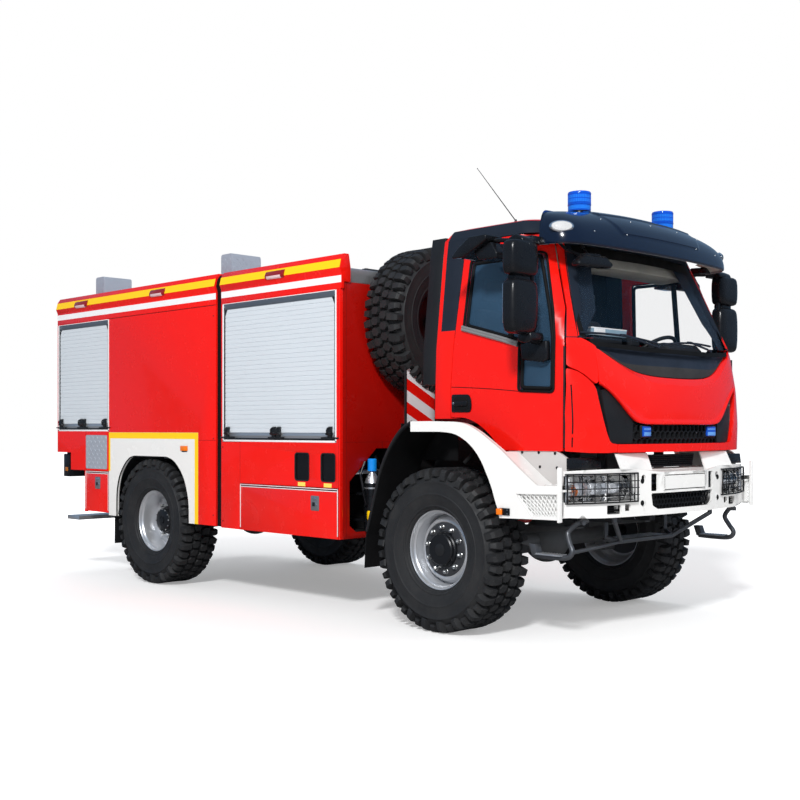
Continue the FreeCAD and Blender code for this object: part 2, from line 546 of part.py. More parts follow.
def end_walls():
    """Front wall with its service recess, the two walls at the split, and the rear wall."""
    def wall(x, bottom):
        return box(x, (-INSIDE, INSIDE), (bottom, ROOF_UNDER))
    front = wall((BODY_FRONT - SKIN, BODY_FRONT), BODY_BOTTOM)
    tunnel = box((BODY_FRONT - 99, BODY_FRONT + 99), (-LOCKER_WALL_Y + 20, LOCKER_WALL_Y - 20), (0, FRONT_FLOOR - 10))
    front = front.cut(tunnel)
    recess = slab([(-1084, 649), (-1151, 703), (-1151, 1046), (-864, 1303), (-655, 1303), (-655, 649)], "x",
                  (BODY_FRONT - 99, BODY_FRONT + 99))
    corner = box((BODY_FRONT - 99, BODY_FRONT + 99), (-INSIDE, -INSIDE + 8), (BODY_BOTTOM, BODY_BOTTOM + 60))
    for one in both_sides(recess) + both_sides(corner):
        front = front.cut(one)
    split_a = wall((SPLIT_FRONT, SPLIT_FRONT + SKIN), BODY_BOTTOM).cut(
        tunnel.translated(Vector(SPLIT_FRONT - BODY_FRONT, 0, 0)))
    split_b = wall((SPLIT_REAR - SKIN, SPLIT_REAR), REAR_FLOOR)
    rear = wall((BODY_REAR, BODY_REAR + SKIN), REAR_FLOOR)
    rear = rear.cut(box((BODY_REAR - 99, BODY_REAR + 99), REAR_OPENING[0], REAR_OPENING[1]))
    walls = [front, split_a, split_b, rear]
    for rail in [rail for one in roof_rail() for rail in both_sides(one)]:
        walls = [wall.cut(rail) for wall in walls]
    return walls


def body_floor():
    """Main floors of both modules, and the low lockers hung beside the chassis."""
    a, b = SPLIT_FRONT + SKIN, BODY_FRONT - SKIN
    front = [box((a, b), (-INSIDE, INSIDE), (FRONT_FLOOR, FRONT_FLOOR + SKIN))]
    locker = join([box((a, b), (-LOCKER_WALL_Y - SKIN, -LOCKER_WALL_Y), (BODY_BOTTOM + 10, FRONT_FLOOR)),
                   box((a, b), (-INSIDE + SEAM, -LOCKER_WALL_Y), (BODY_BOTTOM + 10, BODY_BOTTOM + 10 + SKIN))])
    rail_pad = box((a, b), (-RAIL_OUT, -RAIL_IN), (RAIL_TOP, FRONT_FLOOR))
    front += both_sides(locker) + both_sides(rail_pad)
    c, d = BODY_REAR + SKIN, SPLIT_REAR - SKIN
    rear = [box((c, d), (-INSIDE, INSIDE), (REAR_FLOOR, REAR_FLOOR + SKIN))]
    x, z = HATCHES["rear"]
    bin_floor = box((x[0] - 20, x[1] + 8), (-INSIDE + SEAM, -800), (z[0] + 5, z[0] + 5 + SKIN))
    bin_wall = box((x[0] - 20, x[1] + 8), (-800, -800 + SKIN), (z[0] + 5, REAR_FLOOR))
    bin_ends = [box((x[0] - 22, x[0] - 12), (-INSIDE, -800), (z[0] + 5, REAR_FLOOR)),
                box((x[1] + 7, x[1] + 17), (-INSIDE, -800), (z[0] + 5, REAR_FLOOR))]
    rear += both_sides(join([bin_floor, bin_wall] + bin_ends))
    rear += both_sides(box((CHASSIS_REAR, d), (-RAIL_OUT, -RAIL_IN), (RAIL_TOP, REAR_FLOOR)))
    return [join(front), join(rear)]


def body_roof():
    """Roof decks with the dark beam across the front."""
    edge = ROOF_EDGE
    decks = [box((SPLIT_FRONT, BODY_FRONT), (-edge, edge), (ROOF_UNDER, ROOF_UNDER + ROOF_SHEET)),
             box((BODY_REAR, SPLIT_REAR), (-edge, edge), (ROOF_UNDER, ROOF_UNDER + ROOF_SHEET))]
    beam = slab([(BODY_FRONT - 60, ROOF_UNDER + ROOF_SHEET), (BODY_FRONT, ROOF_UNDER + ROOF_SHEET),
                 (BODY_FRONT + 14, ROOF_UNDER + 60), (BODY_FRONT + 14, ROOF_UNDER + 110),
                 (BODY_FRONT - 60, ROOF_UNDER + 110)], "y", (-edge, edge))
    kerb = box((BODY_REAR, BODY_REAR + 40), (-edge, edge), (ROOF_UNDER + ROOF_SHEET, RAIL_CROWN - 40))
    return [join([decks[0], beam]), join([decks[1], kerb])]


def roof_rail():
    """Bulged coving along the roof's edge, one length for each module."""
    corners = [(-y, z) for y, z in COVING]
    return [slab(corners, "x", span, 6) for span in ((BODY_REAR, SPLIT_REAR), (SPLIT_FRONT, BODY_FRONT + 16))]


def roof_gear():
    """Chequer-plate lockers and the ladder carried on the roof."""
    deck = ROOF_UNDER + ROOF_SHEET
    pieces = [slab(rect((x, x + 165), (-1000, -673)), "z", (deck, 3036), 8) for x in (BODY_REAR + 345, SPLIT_REAR - 273)]
    y = 560.0
    stiles = [box((BODY_REAR + 748, BODY_FRONT - 76), (y + dy, y + dy + 28), (deck + 90, deck + 165)) for dy in (0, 392)]
    rungs = [rod((x, y + 14, deck + 127), (x, y + 406, deck + 127), 15) for x in range(int(BODY_REAR) + 888, int(BODY_FRONT) - 116, 280)]
    feet = [box((x, x + 60), (y - 20, y + 440), (deck, deck + 90)) for x in (BODY_REAR + 1148, SPLIT_REAR - 283, BODY_FRONT - 516)]
    pieces.append(join(stiles + rungs + feet))
    return pieces


def rear_access():
    """Ladder up the rear wall and the folding grating step below it."""
    x = BODY_REAR - LADDER_REACH
    y = -980.0
    stiles = [tube_run([(BODY_REAR, y + dy, 1320), (x + 20, y + dy, 1320), (x + 20, y + dy, 2720),
                        (BODY_REAR, y + dy, 2720)], 20) for dy in (0, 240)]
    rungs = [rod((x + 20, y, z), (x + 20, y + 240, z), 14) for z in range(1460, 2720, 280)]
    ladder = join(stiles + rungs)
    tread = box((BODY_REAR + 118, BODY_REAR + 358), (-HALF_WIDTH + 50, HALF_WIDTH - 50), (520, 560))
    tread = tread.cut(box((BODY_REAR, JAW_X + 60), (-110, 110), (0, 999)))
    arms = both_sides(box((CHASSIS_REAR - 20, CHASSIS_REAR + 30), (-RAIL_OUT - 14, -RAIL_OUT), (520, 960)))
    return [ladder, join([tread] + arms)]


def flap_pins(which, radius, reach):
    """Stub pins on the hinge line of a locker flap, or with a larger radius the holes they turn in."""
    x, z = HATCHES[which]
    y, height = -FLAP_HINGE_Y, z[0] + FLAP_HINGE_UP
    return [rod((x[0] - SEAM - reach, y, height), (x[0] + 20, y, height), radius),
            rod((x[1] - 20, y, height), (x[1] + SEAM + reach, y, height), radius)]


def flap(which, side):
    """Drop-down locker flap, turning on two stub pins near its lower edge."""
    x, z = HATCHES[which]
    panel = slab(rect(x, z), "y", (-HALF_WIDTH - 2, -INSIDE - SEAM))
    shape = join([panel] + flap_pins(which, FLAP_PIN, 8))
    return shape if side < 0 else mirrored(shape)


# ---- between cab and body -----------------------------------------------------------------------
SPARE_CENTRE = (-757.0, -470.0, 2317.0)


def spare_turned(profile):
    """A closed (radius, offset) profile turned about the lengthwise axis of the spare wheel."""
    points = [Vector(*SPARE_CENTRE) + Vector(w, 0, r) for r, w in profile]
    return Part.Face(Part.makePolygon(points + points[:1])).revolve(Vector(*SPARE_CENTRE), Vector(1, 0, 0), 360)


def spare_tyre():
    half = TYRE_HALF_WIDTH - 4
    wall = [(RIM_RADIUS - 30, half - 87), (RIM_RADIUS + 4, half - 73), (RIM_RADIUS + 40, half - 34),
            (RIM_RADIUS + 85, half - 10), (TYRE_RADIUS - 160, half), (TYRE_RADIUS - 80, half - 4),
            (TYRE_RADIUS - 30, half - 14), (TYRE_RADIUS - 8, half - 32), (TYRE_RADIUS, half - 75)]
    return spare_turned(wall + [(r, -w) for r, w in reversed(wall)])


def spare_carrier():
    """Post on the chassis with the spindle that the spare wheel's rim is bolted to."""
    half = RIM_HALF_WIDTH - 6
    r = RIM_RADIUS - REST
    barrel = spare_turned([(r, half), (r, half - 8), (r - 30, half - 22), (r - 30, 22 - half), (r, 8 - half),
                           (r, -half), (r - 16, -half), (r - 44, 26 - half), (r - 44, half - 26), (r - 16, half)])
    disc = spare_turned([(r - 43, -20), (r - 43, -34), (60, -34), (60, -20)])
    x, y, z = SPARE_CENTRE
    back = x - TYRE_HALF_WIDTH
    spindle = rod((back - 5, y, z), (x + 10, y, z), 62)
    post = box((back - 24, back - 2), (y - 70, y + 70), (RAIL_TOP + 60, z + 90))
    beam = box((back - 24, back + 60), (-RAIL_OUT - 90, RAIL_OUT), (RAIL_TOP, RAIL_TOP + 60))
    return join([barrel, disc, spindle, post, beam])


def air_intake():
    """Louvred intake stack on the cab's rear right corner, leaning with the cab's side."""
    def section(z, outside):
        return Part.makePolygon([Vector(CAB_REAR - 135, outside, z), Vector(CAB_REAR, outside, z),
                                 Vector(CAB_REAR, outside + 130, z), Vector(CAB_REAR - 135, outside + 130, z),
                                 Vector(CAB_REAR - 135, outside, z)])
    return Part.makeLoft([section(1780, -1082), section(2040, -1074), section(2720, -1000), section(2862, -975)],
                         True, True)


# ---- cab ----------------------------------------------------------------------------------------
def cab_section(level, inset):
    """Closed plan outline of the cab at one height: bowed nose, rounded corners, straight sides."""
    z, middle, shoulder, half_width, rear = level
    middle, shoulder, half_width, rear = middle - inset, shoulder - inset, half_width - inset, rear + inset
    y = half_width - SHOULDER_Y
    slope = math.tan(2 * math.atan((middle - shoulder) / y))
    start, tip, end = Vector(shoulder, -y, z), Vector(middle, 0, z), Vector(shoulder, y, z)
    edges = [Part.Arc(start, tip, end).toShape()]
    for a, sign in ((end, 1), (start, -1)):
        corner = Vector(shoulder - SHOULDER_Y * slope, sign * half_width, z)
        side = Vector(shoulder - SHOULDER_X, sign * half_width, z)
        curve = Part.BezierCurve()
        curve.setPoles([a, corner, side] if sign > 0 else [side, corner, a])
        edges.append(curve.toShape())
    left = Vector(shoulder - SHOULDER_X, half_width, z)
    right = Vector(shoulder - SHOULDER_X, -half_width, z)
    back_left, back_right = Vector(rear, half_width, z), Vector(rear, -half_width, z)
    edges += [Part.LineSegment(left, back_left).toShape(), Part.LineSegment(back_left, back_right).toShape(),
              Part.LineSegment(back_right, right).toShape()]
    return Part.Wire(Part.__sortEdges__(edges))


def level_at(z):
    """The cab's outline values at a height between two of its levels."""
    for low, high in zip(CAB_LEVELS, CAB_LEVELS[1:]):
        if low[0] <= z <= high[0]:
            t = (z - low[0]) / (high[0] - low[0])
            return tuple(a + (b - a) * t for a, b in zip(low, high))
    return CAB_LEVELS[0] if z < CAB_LEVELS[0][0] else CAB_LEVELS[-1]


def cab_solid(inset, roof_drop=None):
    """The whole cab as one solid, set in by inset; its roof comes down by roof_drop."""
    drop = inset if roof_drop is None else roof_drop
    top = CAB_LEVELS[-1][0] - drop
    levels = [level for level in CAB_LEVELS if level[0] < top - 1]
    levels.append((top,) + tuple(level_at(top)[1:]))
    if inset > 0:
        first = levels[0]
        levels[0] = (first[0] - 5,) + first[1:]
    return Part.makeLoft([cab_section(level, inset) for level in levels], True, True)


def door_prism(grow):
    """The door's outline through the cab's left side, larger all round by grow."""
    face = Part.Face(Part.makePolygon([Vector(x, 0, z) for x, z in DOOR + DOOR[:1]]))
    outline = face.makeOffset2D(grow, 2) if grow else face
    return outline.extrude(Vector(0, 2000, 0))


def through_nose(corners, radius=0.0):
    return slab(corners, "x", (560, 1500), radius)


def door_hinge(z):
    """Left door's barrel, the fork with its pin on the apron, and the notch they turn in."""
    x, y = HINGE_X, HINGE_Y
    barrel = join([rod((x, y, z - 22), (x, y, z + 22), 12), box((x - 57, x), (y - 38, y + 8), (z - 22, z + 22))])
    barrel = barrel.cut(rod((x, y, z - 30), (x, y, z + 30), HINGE_PIN + FIT))
    fork = [rod((x, y, z - 42), (x, y, z + 42), HINGE_PIN)]
    for low in (z - 42, z + 24):
        fork += [rod((x, y, low), (x, y, low + 18), 12), box((x, x + 34), (y - 38, y + 8), (low, low + 18))]
    swing = rod((x, y, z - 28), (x, y, z + 28), 46).common(box((x - 60, x + 60), (y - 60, y - 6), (z - 28, z + 28)))
    notch = join([rod((x, y, z - 44), (x, y, z + 44), 20), box((x - 20, x), (y - 60, y + 40), (z - 28, z + 28)), swing])
    return barrel, join(fork), notch


def apron_edge():
    """What comes off the apron's rear outer edge to round it about the hinge line, so the door clears it."""
    z = (CAB_SILL - 10, 1790)
    waste = box((HINGE_X - 30, HINGE_X), (-HINGE_Y - 40, -HINGE_Y), z)
    return waste.cut(rod((HINGE_X, -HINGE_Y, z[0]), (HINGE_X, -HINGE_Y, z[1]), 15))


def cab_parts():
    """Skins of the cab: shell, apron, hood, left door and its glass, cowl, grille panel, windscreen."""
    outer = cab_solid(0)
    skin = outer.cut(cab_solid(CAB_WALL)).cut(slab(WHEEL_CLEARANCE, "y", (-2000, 2000)))
    skin = skin.cut(box((-200, 1300), (-735, 735), (1000, APRON_SILL)))
    glazing = cab_solid(GLASS_INSET).cut(cab_solid(GLASS_INSET + GLASS))
    window = slab(DOOR_WINDOW, "y", (0, 2000), 25)
    door = skin.common(door_prism(0)).cut(window)
    pane = glazing.common(window)
    for prism in both_sides(door_prism(SEAM)):
        skin = skin.cut(prism)
    nose = box((APRON_JOINT, 1500), (-2000, 2000), (1200, APRON_TOP))
    screen_hole = slab(WINDSCREEN, "x", (560, 1500), 30).common(slab(PILLAR, "y", (-2000, 2000)))
    lid = outer.cut(cab_solid(LID_SHEET)).common(nose)
    shell = skin.cut(nose).cut(screen_hole)
    front = skin.common(nose).cut(screen_hole)
    apron = front.cut(through_nose(RECESS)).cut(through_nose(COWL))
    backing = cab_solid(CAB_WALL + REST).cut(cab_solid(CAB_WALL + 12))
    backing = backing.common(box((900, 1500), (-950, 950), (1365, 2000)))
    behind_lid = cab_solid(LID_SHEET + REST).cut(cab_solid(CAB_WALL + 6))
    stops = [behind_lid.common(rod((900, y, z), (1500, y, z), 14)) for y, z in LID_STOPS]
    for z in DOOR_HINGES:
        barrel, fork, notch = door_hinge(z)
        door = join([door, barrel])
        for one, twin in zip(both_sides(notch), both_sides(fork)):
            apron = join([apron.cut(one), twin])
    for edge in both_sides(apron_edge()):
        apron = apron.cut(edge)
    backing = join([backing] + stops)
    return {"shell": shell, "apron": apron, "hood": lid.common(through_nose(HOOD)),
            "cowl": lid.common(through_nose(COWL)).cut(screen_hole), "backing": backing,
            "door": door, "pane": pane, "screen": glazing.common(screen_hole)}


def cab_floor():
    """Stepped floor, front bulkhead, and the two arms that tilt on the chassis pins."""
    wide = 1098 - CAB_WALL - 22
    low = box((560, 1000), (-wide, wide), (CAB_FLOOR, CAB_FLOOR + FLOOR_SHEET))
    riser = box((530, 560), (-wide, wide), (CAB_FLOOR, CAB_FLOOR_HIGH + FLOOR_SHEET))
    high = box((CAB_REAR + CAB_WALL, 531), (-wide, wide), (CAB_FLOOR_HIGH, CAB_FLOOR_HIGH + FLOOR_SHEET))
    firewall = box((1000, 1018), (-940, 940), (CAB_FLOOR, 1990))
    path = [(TILT_X - 45, TILT_Z - 20), (TILT_X - 20, TILT_Z - 45), (TILT_X + 20, TILT_Z - 45), (TILT_X + 45, TILT_Z - 20),
            (TILT_X + 45, TILT_Z + 20), (TILT_X - 80, TILT_Z + 130), (TILT_X - 80, CAB_FLOOR), (TILT_X - 150, CAB_FLOOR),
            (TILT_X - 150, TILT_Z + 110)]
    arm = slab(path, "y", (-RAIL_IN + SEAM, -RAIL_IN + SEAM + TILT_ARM))
    arm = arm.cut(rod((TILT_X, -999, TILT_Z), (TILT_X, 0, TILT_Z), TILT_PIN_RADIUS + FIT))
    return join([low, riser, high, firewall] + both_sides(arm))


def dashboard():
    """Dash across the cab with the steering column and wheel on the left."""
    dash = slab([(1000, 1700), (1000, 1975), (960, 2010), (800, 1990), (740, 1930), (740, 1800), (820, 1700)], "y",
                (-930, 930), 15)
    hub = Vector(*WHEEL_HUB)
    tilt = Vector(-0.62, 0, 0.785)
    column = Part.makeCylinder(32, 330, hub - tilt * 330, tilt)
    ring = Part.makeTorus(215, 15, hub, tilt)
    spokes = []
    for angle in (90, 210, 330):
        across = Vector(0, 1, 0) * math.cos(math.radians(angle)) + tilt.cross(Vector(0, 1, 0)) * math.sin(
            math.radians(angle))
        spokes.append(Part.makeCylinder(13, 212, hub - tilt * 12, across))
    boss = Part.makeCylinder(62, 40, hub - tilt * 32, tilt)
    return join([dash, column, ring, boss] + spokes)


WHEEL_HUB = (640.0, 560.0, 2030.0)


def seats():
    """Three seats on their bases, each one solid."""
    floor = CAB_FLOOR_HIGH + FLOOR_SHEET
    pieces = []
    for y in (-560, 0, 560):
        half = 235 if y else 190
        base = box((60, 430), (y - half + 40, y + half - 40), (floor, floor + 150))
        cushion = slab([(20, floor + 150), (510, floor + 150), (520, floor + 250), (60, floor + 240)], "y",
                       (y - half, y + half), 25)
        back = slab([(20, floor + 200), (110, floor + 200), (20, floor + 830), (-50, floor + 830)], "y",
                    (y - half + 10, y + half - 10), 25)
        head = slab([(-40, floor + 825), (40, floor + 825), (25, floor + 1030), (-45, floor + 1030)], "y",
                    (y - 140, y + 140), 25)
        pieces.append(join([base, cushion, back, head]))
    return pieces


def visor():
    """Glossy roof visor: a bowed lip over the windscreen, swept back over the front of the roof."""
    wires = []
    for z, lip, lip_end, half_width, back, back_end in VISOR_LEVELS:
        right, left = Vector(lip_end, -half_width, z), Vector(lip_end, half_width, z)
        back_right, back_left = Vector(back_end, -half_width, z), Vector(back_end, half_width, z)
        wires.append(Part.Wire([Part.Arc(right, Vector(lip, 0, z), left).toShape(),
                                Part.LineSegment(left, back_left).toShape(),
                                Part.Arc(back_left, Vector(back, 0, z), back_right).toShape(),
                                Part.LineSegment(back_right, right).toShape()]))
    return Part.makeLoft(wires, True, True).cut(cab_solid(-REST))


BEACON_X, BEACON_Y = 761.0, 533.0
VISOR_TOP = VISOR_LEVELS[-1][0]
ANTENNA_FOOT = (250.0, -620.0)


def roof_fittings():
    """Two beacons on the visor and a whip antenna on the roof."""
    beacon = rod((BEACON_X, -BEACON_Y, VISOR_TOP), (BEACON_X, -BEACON_Y, VISOR_TOP + 138), 76)
    x, y = ANTENNA_FOOT
    roof = CAB_LEVELS[-1][0]
    foot = join([rod((x, y, roof), (x, y, roof + 14), 28), Part.makeCone(22, 12, 60, Vector(x, y, roof + 8))])
    whip = rod((x - 2, y, roof + 60), (x - 375, y, roof + 500), 4)
    return both_sides(beacon) + [join([foot, whip])]


def mirror_set(side):
    """Door mirrors: two housings on a post, its arms to the door, and the kerb mirror above."""
    post = tube_run([(890, -1072, 2080), (880, -1165, 2075), (865, -1190, 2110), (862, -1190, 2640),
                     (800, -1120, 2680), (700, -1000, 2685)], 14)
    main = slab([(862, -1440), (790, -1440), (790, -1185), (862, -1185), (900, -1240), (905, -1385)], "z", (2125, 2430), 18)
    wide = slab([(862, -1425), (785, -1425), (785, -1180), (862, -1180), (895, -1235), (898, -1375)], "z", (2462, 2680), 18)
    kerb_arm = tube_run([(862, -1190, 2690), (700, -1230, 2720), (480, -1240, 2730)], 13)
    kerb = slab([(250, 2645), (560, 2690), (590, 2765), (430, 2765), (300, 2700)], "y", (-1340, -1160), 12)
    shape = join([post, main, wide, kerb_arm, kerb]).cut(cab_solid(-REST))
    return shape if side < 0 else mirrored(shape)


# ---- writing ------------------------------------------------------------------------------------
def main():
    os.makedirs("parts", exist_ok=True)
    save("chassis_frame", chassis_frame())
    save("powertrain", powertrain())
    save("front_axle", front_axle())
    save("rear_axle", rear_axle())
    save("front_bumper", front_bumper())
    save("lower_grille", lower_grille())
    save("lamps", lamps())
    save("front_steps", front_steps())
    save("front_fenders", both_sides(front_fender()))
    save("front_liners", both_sides(front_liner()))
    save("rear_liners", both_sides(rear_liner()))
    save("rear_arch_panels", both_sides(rear_arch_panel()))
    save("side_panels", [one for panel in side_panel() for one in both_sides(panel)])
    save("end_walls", end_walls())
    save("body_floor", body_floor())
    save("body_roof", body_roof())
    save("roof_rails", [one for rail in roof_rail() for one in both_sides(rail)])
    save("roller_shutters", roller_shutters())
    save("roof_gear", roof_gear())
    save("rear_access", rear_access())
    save("spare_tyre", spare_tyre())
    save("spare_carrier", spare_carrier())
    cab = cab_parts()
    save("cab_shell", cab["shell"])
    save("cab_apron", cab["apron"])
    save("cab_grille", [cab["cowl"], cab["backing"]])
    save("windscreen", cab["screen"])
    save("hood", cab["hood"])
    save("cab_floor", cab_floor())
    save("dashboard", dashboard())
    save("seats", seats())
    save("visor", visor())
    save("roof_fittings", roof_fittings())
    save("air_intake", air_intake())
    for name, side in (("right", -1), ("left", 1)):
        save(f"door_{name}", cab["door"] if side > 0 else mirrored(cab["door"]))
        save(f"door_glass_{name}", cab["pane"] if side > 0 else mirrored(cab["pane"]))
        save(f"mirrors_{name}", mirror_set(side))
        save(f"knuckle_{name}", knuckle(side))
        for which in HATCHES:
            save(f"{which}_flap_{name}", flap(which, side))
        for end, x, disc in (("front", 0, FRONT_DISC), ("rear", REAR_AXLE, REAR_DISC)):
            centre = (x, side * TRACK_HALF, AXLE_Z)
            save(f"{end}_tyre_{name}", tyre(centre, side))
            save(f"{end}_rim_{name}", rim(centre, side, disc))


main()
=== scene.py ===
"""Fire engine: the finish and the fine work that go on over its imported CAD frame."""
import json
import math

import bmesh
import bpy
from mathutils import Matrix, Vector
from mathutils.bvhtree import BVHTree


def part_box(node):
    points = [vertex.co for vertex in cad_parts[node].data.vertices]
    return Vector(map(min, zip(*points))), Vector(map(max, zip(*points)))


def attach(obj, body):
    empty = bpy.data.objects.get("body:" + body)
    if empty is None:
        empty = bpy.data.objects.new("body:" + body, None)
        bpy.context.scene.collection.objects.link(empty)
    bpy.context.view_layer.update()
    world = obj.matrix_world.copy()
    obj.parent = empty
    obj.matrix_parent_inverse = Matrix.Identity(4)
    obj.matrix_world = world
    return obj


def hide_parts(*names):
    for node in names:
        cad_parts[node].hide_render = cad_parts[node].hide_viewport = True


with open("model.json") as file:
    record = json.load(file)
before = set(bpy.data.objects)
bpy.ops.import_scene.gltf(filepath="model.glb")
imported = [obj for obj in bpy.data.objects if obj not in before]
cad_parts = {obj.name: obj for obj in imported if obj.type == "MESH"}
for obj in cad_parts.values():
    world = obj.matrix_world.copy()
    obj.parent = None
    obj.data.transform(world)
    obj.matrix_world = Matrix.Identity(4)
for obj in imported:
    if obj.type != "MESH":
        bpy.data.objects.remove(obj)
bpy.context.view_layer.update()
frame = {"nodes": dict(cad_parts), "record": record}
nodes = frame["nodes"]
scene = bpy.context.scene

# The fire engine's own landmarks, all taken from the CAD frame.
front_tyre_low, front_tyre_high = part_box("front_tyre_right")
AXLE_X = (front_tyre_low.x + front_tyre_high.x) / 2
WHEEL_RADIUS = (front_tyre_high.z - front_tyre_low.z) / 2
TYRE_WIDTH = front_tyre_high.y - front_tyre_low.y
SIDES = {"right": -1, "left": 1}


def at(x, y, z):
    """A point measured from the ground under the front axle."""
    return Vector((AXLE_X + x, y, z))


# ---- camera ----
camera = bpy.data.objects.new("camera", bpy.data.cameras.new("camera"))
scene.collection.objects.link(camera)
camera.location = at(5.667, -7.144, 1.454)
camera.rotation_euler = (math.radians(90), 0, math.radians(45.46))
camera.data.lens = 51.66
camera.data.shift_y = .0366
camera.data.clip_end = 200
scene.camera = camera


# ---- finishes ----
class Signal:
    """A value on its way through a finish, which Python sums can use."""

    def __init__(self, finish, socket):
        self.finish, self.socket = finish, socket

    def math(self, operation, *values):
        return self.finish.node("Math", {"operation": operation}, dict(enumerate(values)))

    def __rsub__(self, other):
        return self.math("SUBTRACT", other, self)

    def wave(self, length):
        """A smooth ripple from 0 to 1 that repeats every length."""
        return self.math("SINE", self * (math.tau / length)) * .5 + .5

    def within(self, low, high):
        return (self > low) * (self < high)


for name, operation in {"add": "ADD", "radd": "ADD", "sub": "SUBTRACT", "mul": "MULTIPLY", "rmul": "MULTIPLY",
        "pow": "POWER", "gt": "GREATER_THAN", "lt": "LESS_THAN"}.items():
    setattr(Signal, f"__{name}__", lambda self, other, operation=operation: self.math(operation, self, other))


class Finish:
    """One procedural material, built round its Principled shader."""

    def __init__(self, name, colour, roughness=.5, metallic=0.0, **fixed):
        self.material = bpy.data.materials.new(name)
        self.material.use_nodes = True
        self.tree = self.material.node_tree
        self.shader = self.tree.nodes["Principled BSDF"]
        self.set("Base Color", colour)
        self.set("Roughness", roughness)
        self.set("Metallic", metallic)
        for key, value in fixed.items():
            self.set(key.replace("_", " "), value)
        self.place = self.node("TexCoord", output="Object")

    def node(self, kind, settings=None, inputs=None, output=0):
        made = self.tree.nodes.new("ShaderNode" + kind)
        for key, value in (settings or {}).items():
            setattr(made, key, value)
        for key, value in (inputs or {}).items():
            self.feed(made.inputs[key], value)
        return Signal(self, made.outputs[output])

    def feed(self, socket, value):
        if isinstance(value, Signal):
            self.tree.links.new(value.socket, socket)
        elif socket.type == "RGBA":
            socket.default_value = rgba(value)
        else:
            socket.default_value = value

    def set(self, name, value):
        self.feed(self.shader.inputs[name], value)
        return self

    def axis(self, letter):
        return self.node("SeparateXYZ", inputs={"Vector": self.place}, output=letter.upper())

    def noise(self, scale, detail=3, stretch=(1, 1, 1)):
        where = self.node("Mapping", inputs={"Vector": self.place, "Scale": stretch})
        return self.node("TexNoise", inputs={"Vector": where, "Scale": scale, "Detail": detail, "Roughness": .5})

    def step(self, value, low, high, soft_low=0.0, soft_high=1.0):
        return self.node("MapRange", inputs={"Value": value, "From Min": low, "From Max": high, "To Min": soft_low,
            "To Max": soft_high})

    def mix(self, factor, a, b):
        return self.node("Mix", {"data_type": "RGBA"}, {0: factor, 6: a, 7: b}, output=2)

    def bump(self, height, strength=.3, distance=.001):
        return self.set("Normal", self.node("Bump", inputs={"Height": height, "Strength": strength,
            "Distance": distance}))


def rgba(colour):
    return (*colour[:3], colour[3] if len(colour) > 3 else 1.0)


def paint(name, colour, roughness=.22, coat=.22, gloss=.05):
    """Two-pack vehicle paint under clear coat, a little dusty low down."""
    finish = Finish(name, colour, roughness + .1, Coat_Weight=coat, Coat_Roughness=gloss, Specular_IOR_Level=.25)
    cloudy = finish.noise(2.2, 4)
    low = finish.step(finish.axis("z"), .55, 1.15, 1.0, 0.0)
    film = low * finish.step(cloudy, .35, .75) * .03
    shade = finish.mix(finish.step(cloudy, .3, .7) * .1, colour, tuple(c * .82 for c in colour))
    finish.set("Base Color", finish.mix(film, shade, (.3, .26, .22)))
    finish.set("Roughness", finish.step(finish.noise(9, 3), .3, .7, roughness - .05, roughness + .08) + film)
    finish.bump(finish.noise(260, 2), .04, .0006)
    return finish.material


def plastic(name, colour, roughness=.5, grain=420, depth=.25, shine=.3):
    """Moulded plastic with a fine leathery grain."""
    finish = Finish(name, colour, roughness, Specular_IOR_Level=shine)
    patch = finish.step(finish.noise(5, 4), .3, .7)
    finish.set("Base Color", finish.mix(patch * .35, colour, tuple(min(1, c * 1.7 + .004) for c in colour)))
    finish.set("Roughness", finish.step(finish.noise(14, 3), .3, .7, roughness - .07, roughness + .07))
    finish.bump(finish.noise(grain, 2), depth, .0006)
    return finish.material


def metal(name, colour, roughness=.35, metallic=1.0, stretch=(1, 1, 1), grain=180, depth=.12, worn=.3):
    """Bare or painted metal with rubbed and dull places."""
    finish = Finish(name, colour, roughness, metallic)
    patch = finish.step(finish.noise(6, 5), .3, .72)
    finish.set("Base Color", finish.mix(patch * worn, colour, tuple(c * .72 for c in colour)))
    finish.set("Roughness", finish.step(finish.noise(22, 4, stretch), .3, .7, roughness - worn * .2,
        roughness + worn * .35))
    finish.bump(finish.noise(grain, 3, stretch), depth, .0005)
    return finish.material


def cab_paint():
    """The red of the cab's shell, with its dark lining wherever the shell faces the cab's inside."""
    finish = Finish("cab red and lining", RED, .34, Specular_IOR_Level=.3)
    x, y, z = (finish.axis(letter) for letter in "xyz")
    inboard = y.math("ABSOLUTE", y) < 1.062
    upper = z.within(2.062, 2.905) * (x > AXLE_X - .085)
    lower = z.within(1.52, 2.07) * x.within(AXLE_X - .085, AXLE_X + .93)
    inside = finish.node("Clamp", inputs={"Value": inboard * (upper + lower)})
    finish.set("Base Color", finish.mix(inside, RED, (.008, .014, .026)))
    finish.set("Roughness", finish.step(inside, 0, 1, .3, .75))
    return finish.material


def glazing(name, tint, clear=.9):
    """Moulded glass or clear plastic with a faint film of dust."""
    finish = Finish(name, tint, .02, IOR=1.5, Transmission_Weight=clear, Specular_IOR_Level=.6)
    film = finish.step(finish.noise(4, 4), .45, .8)
    finish.set("Roughness", film * .03 + .01)
    return finish.material


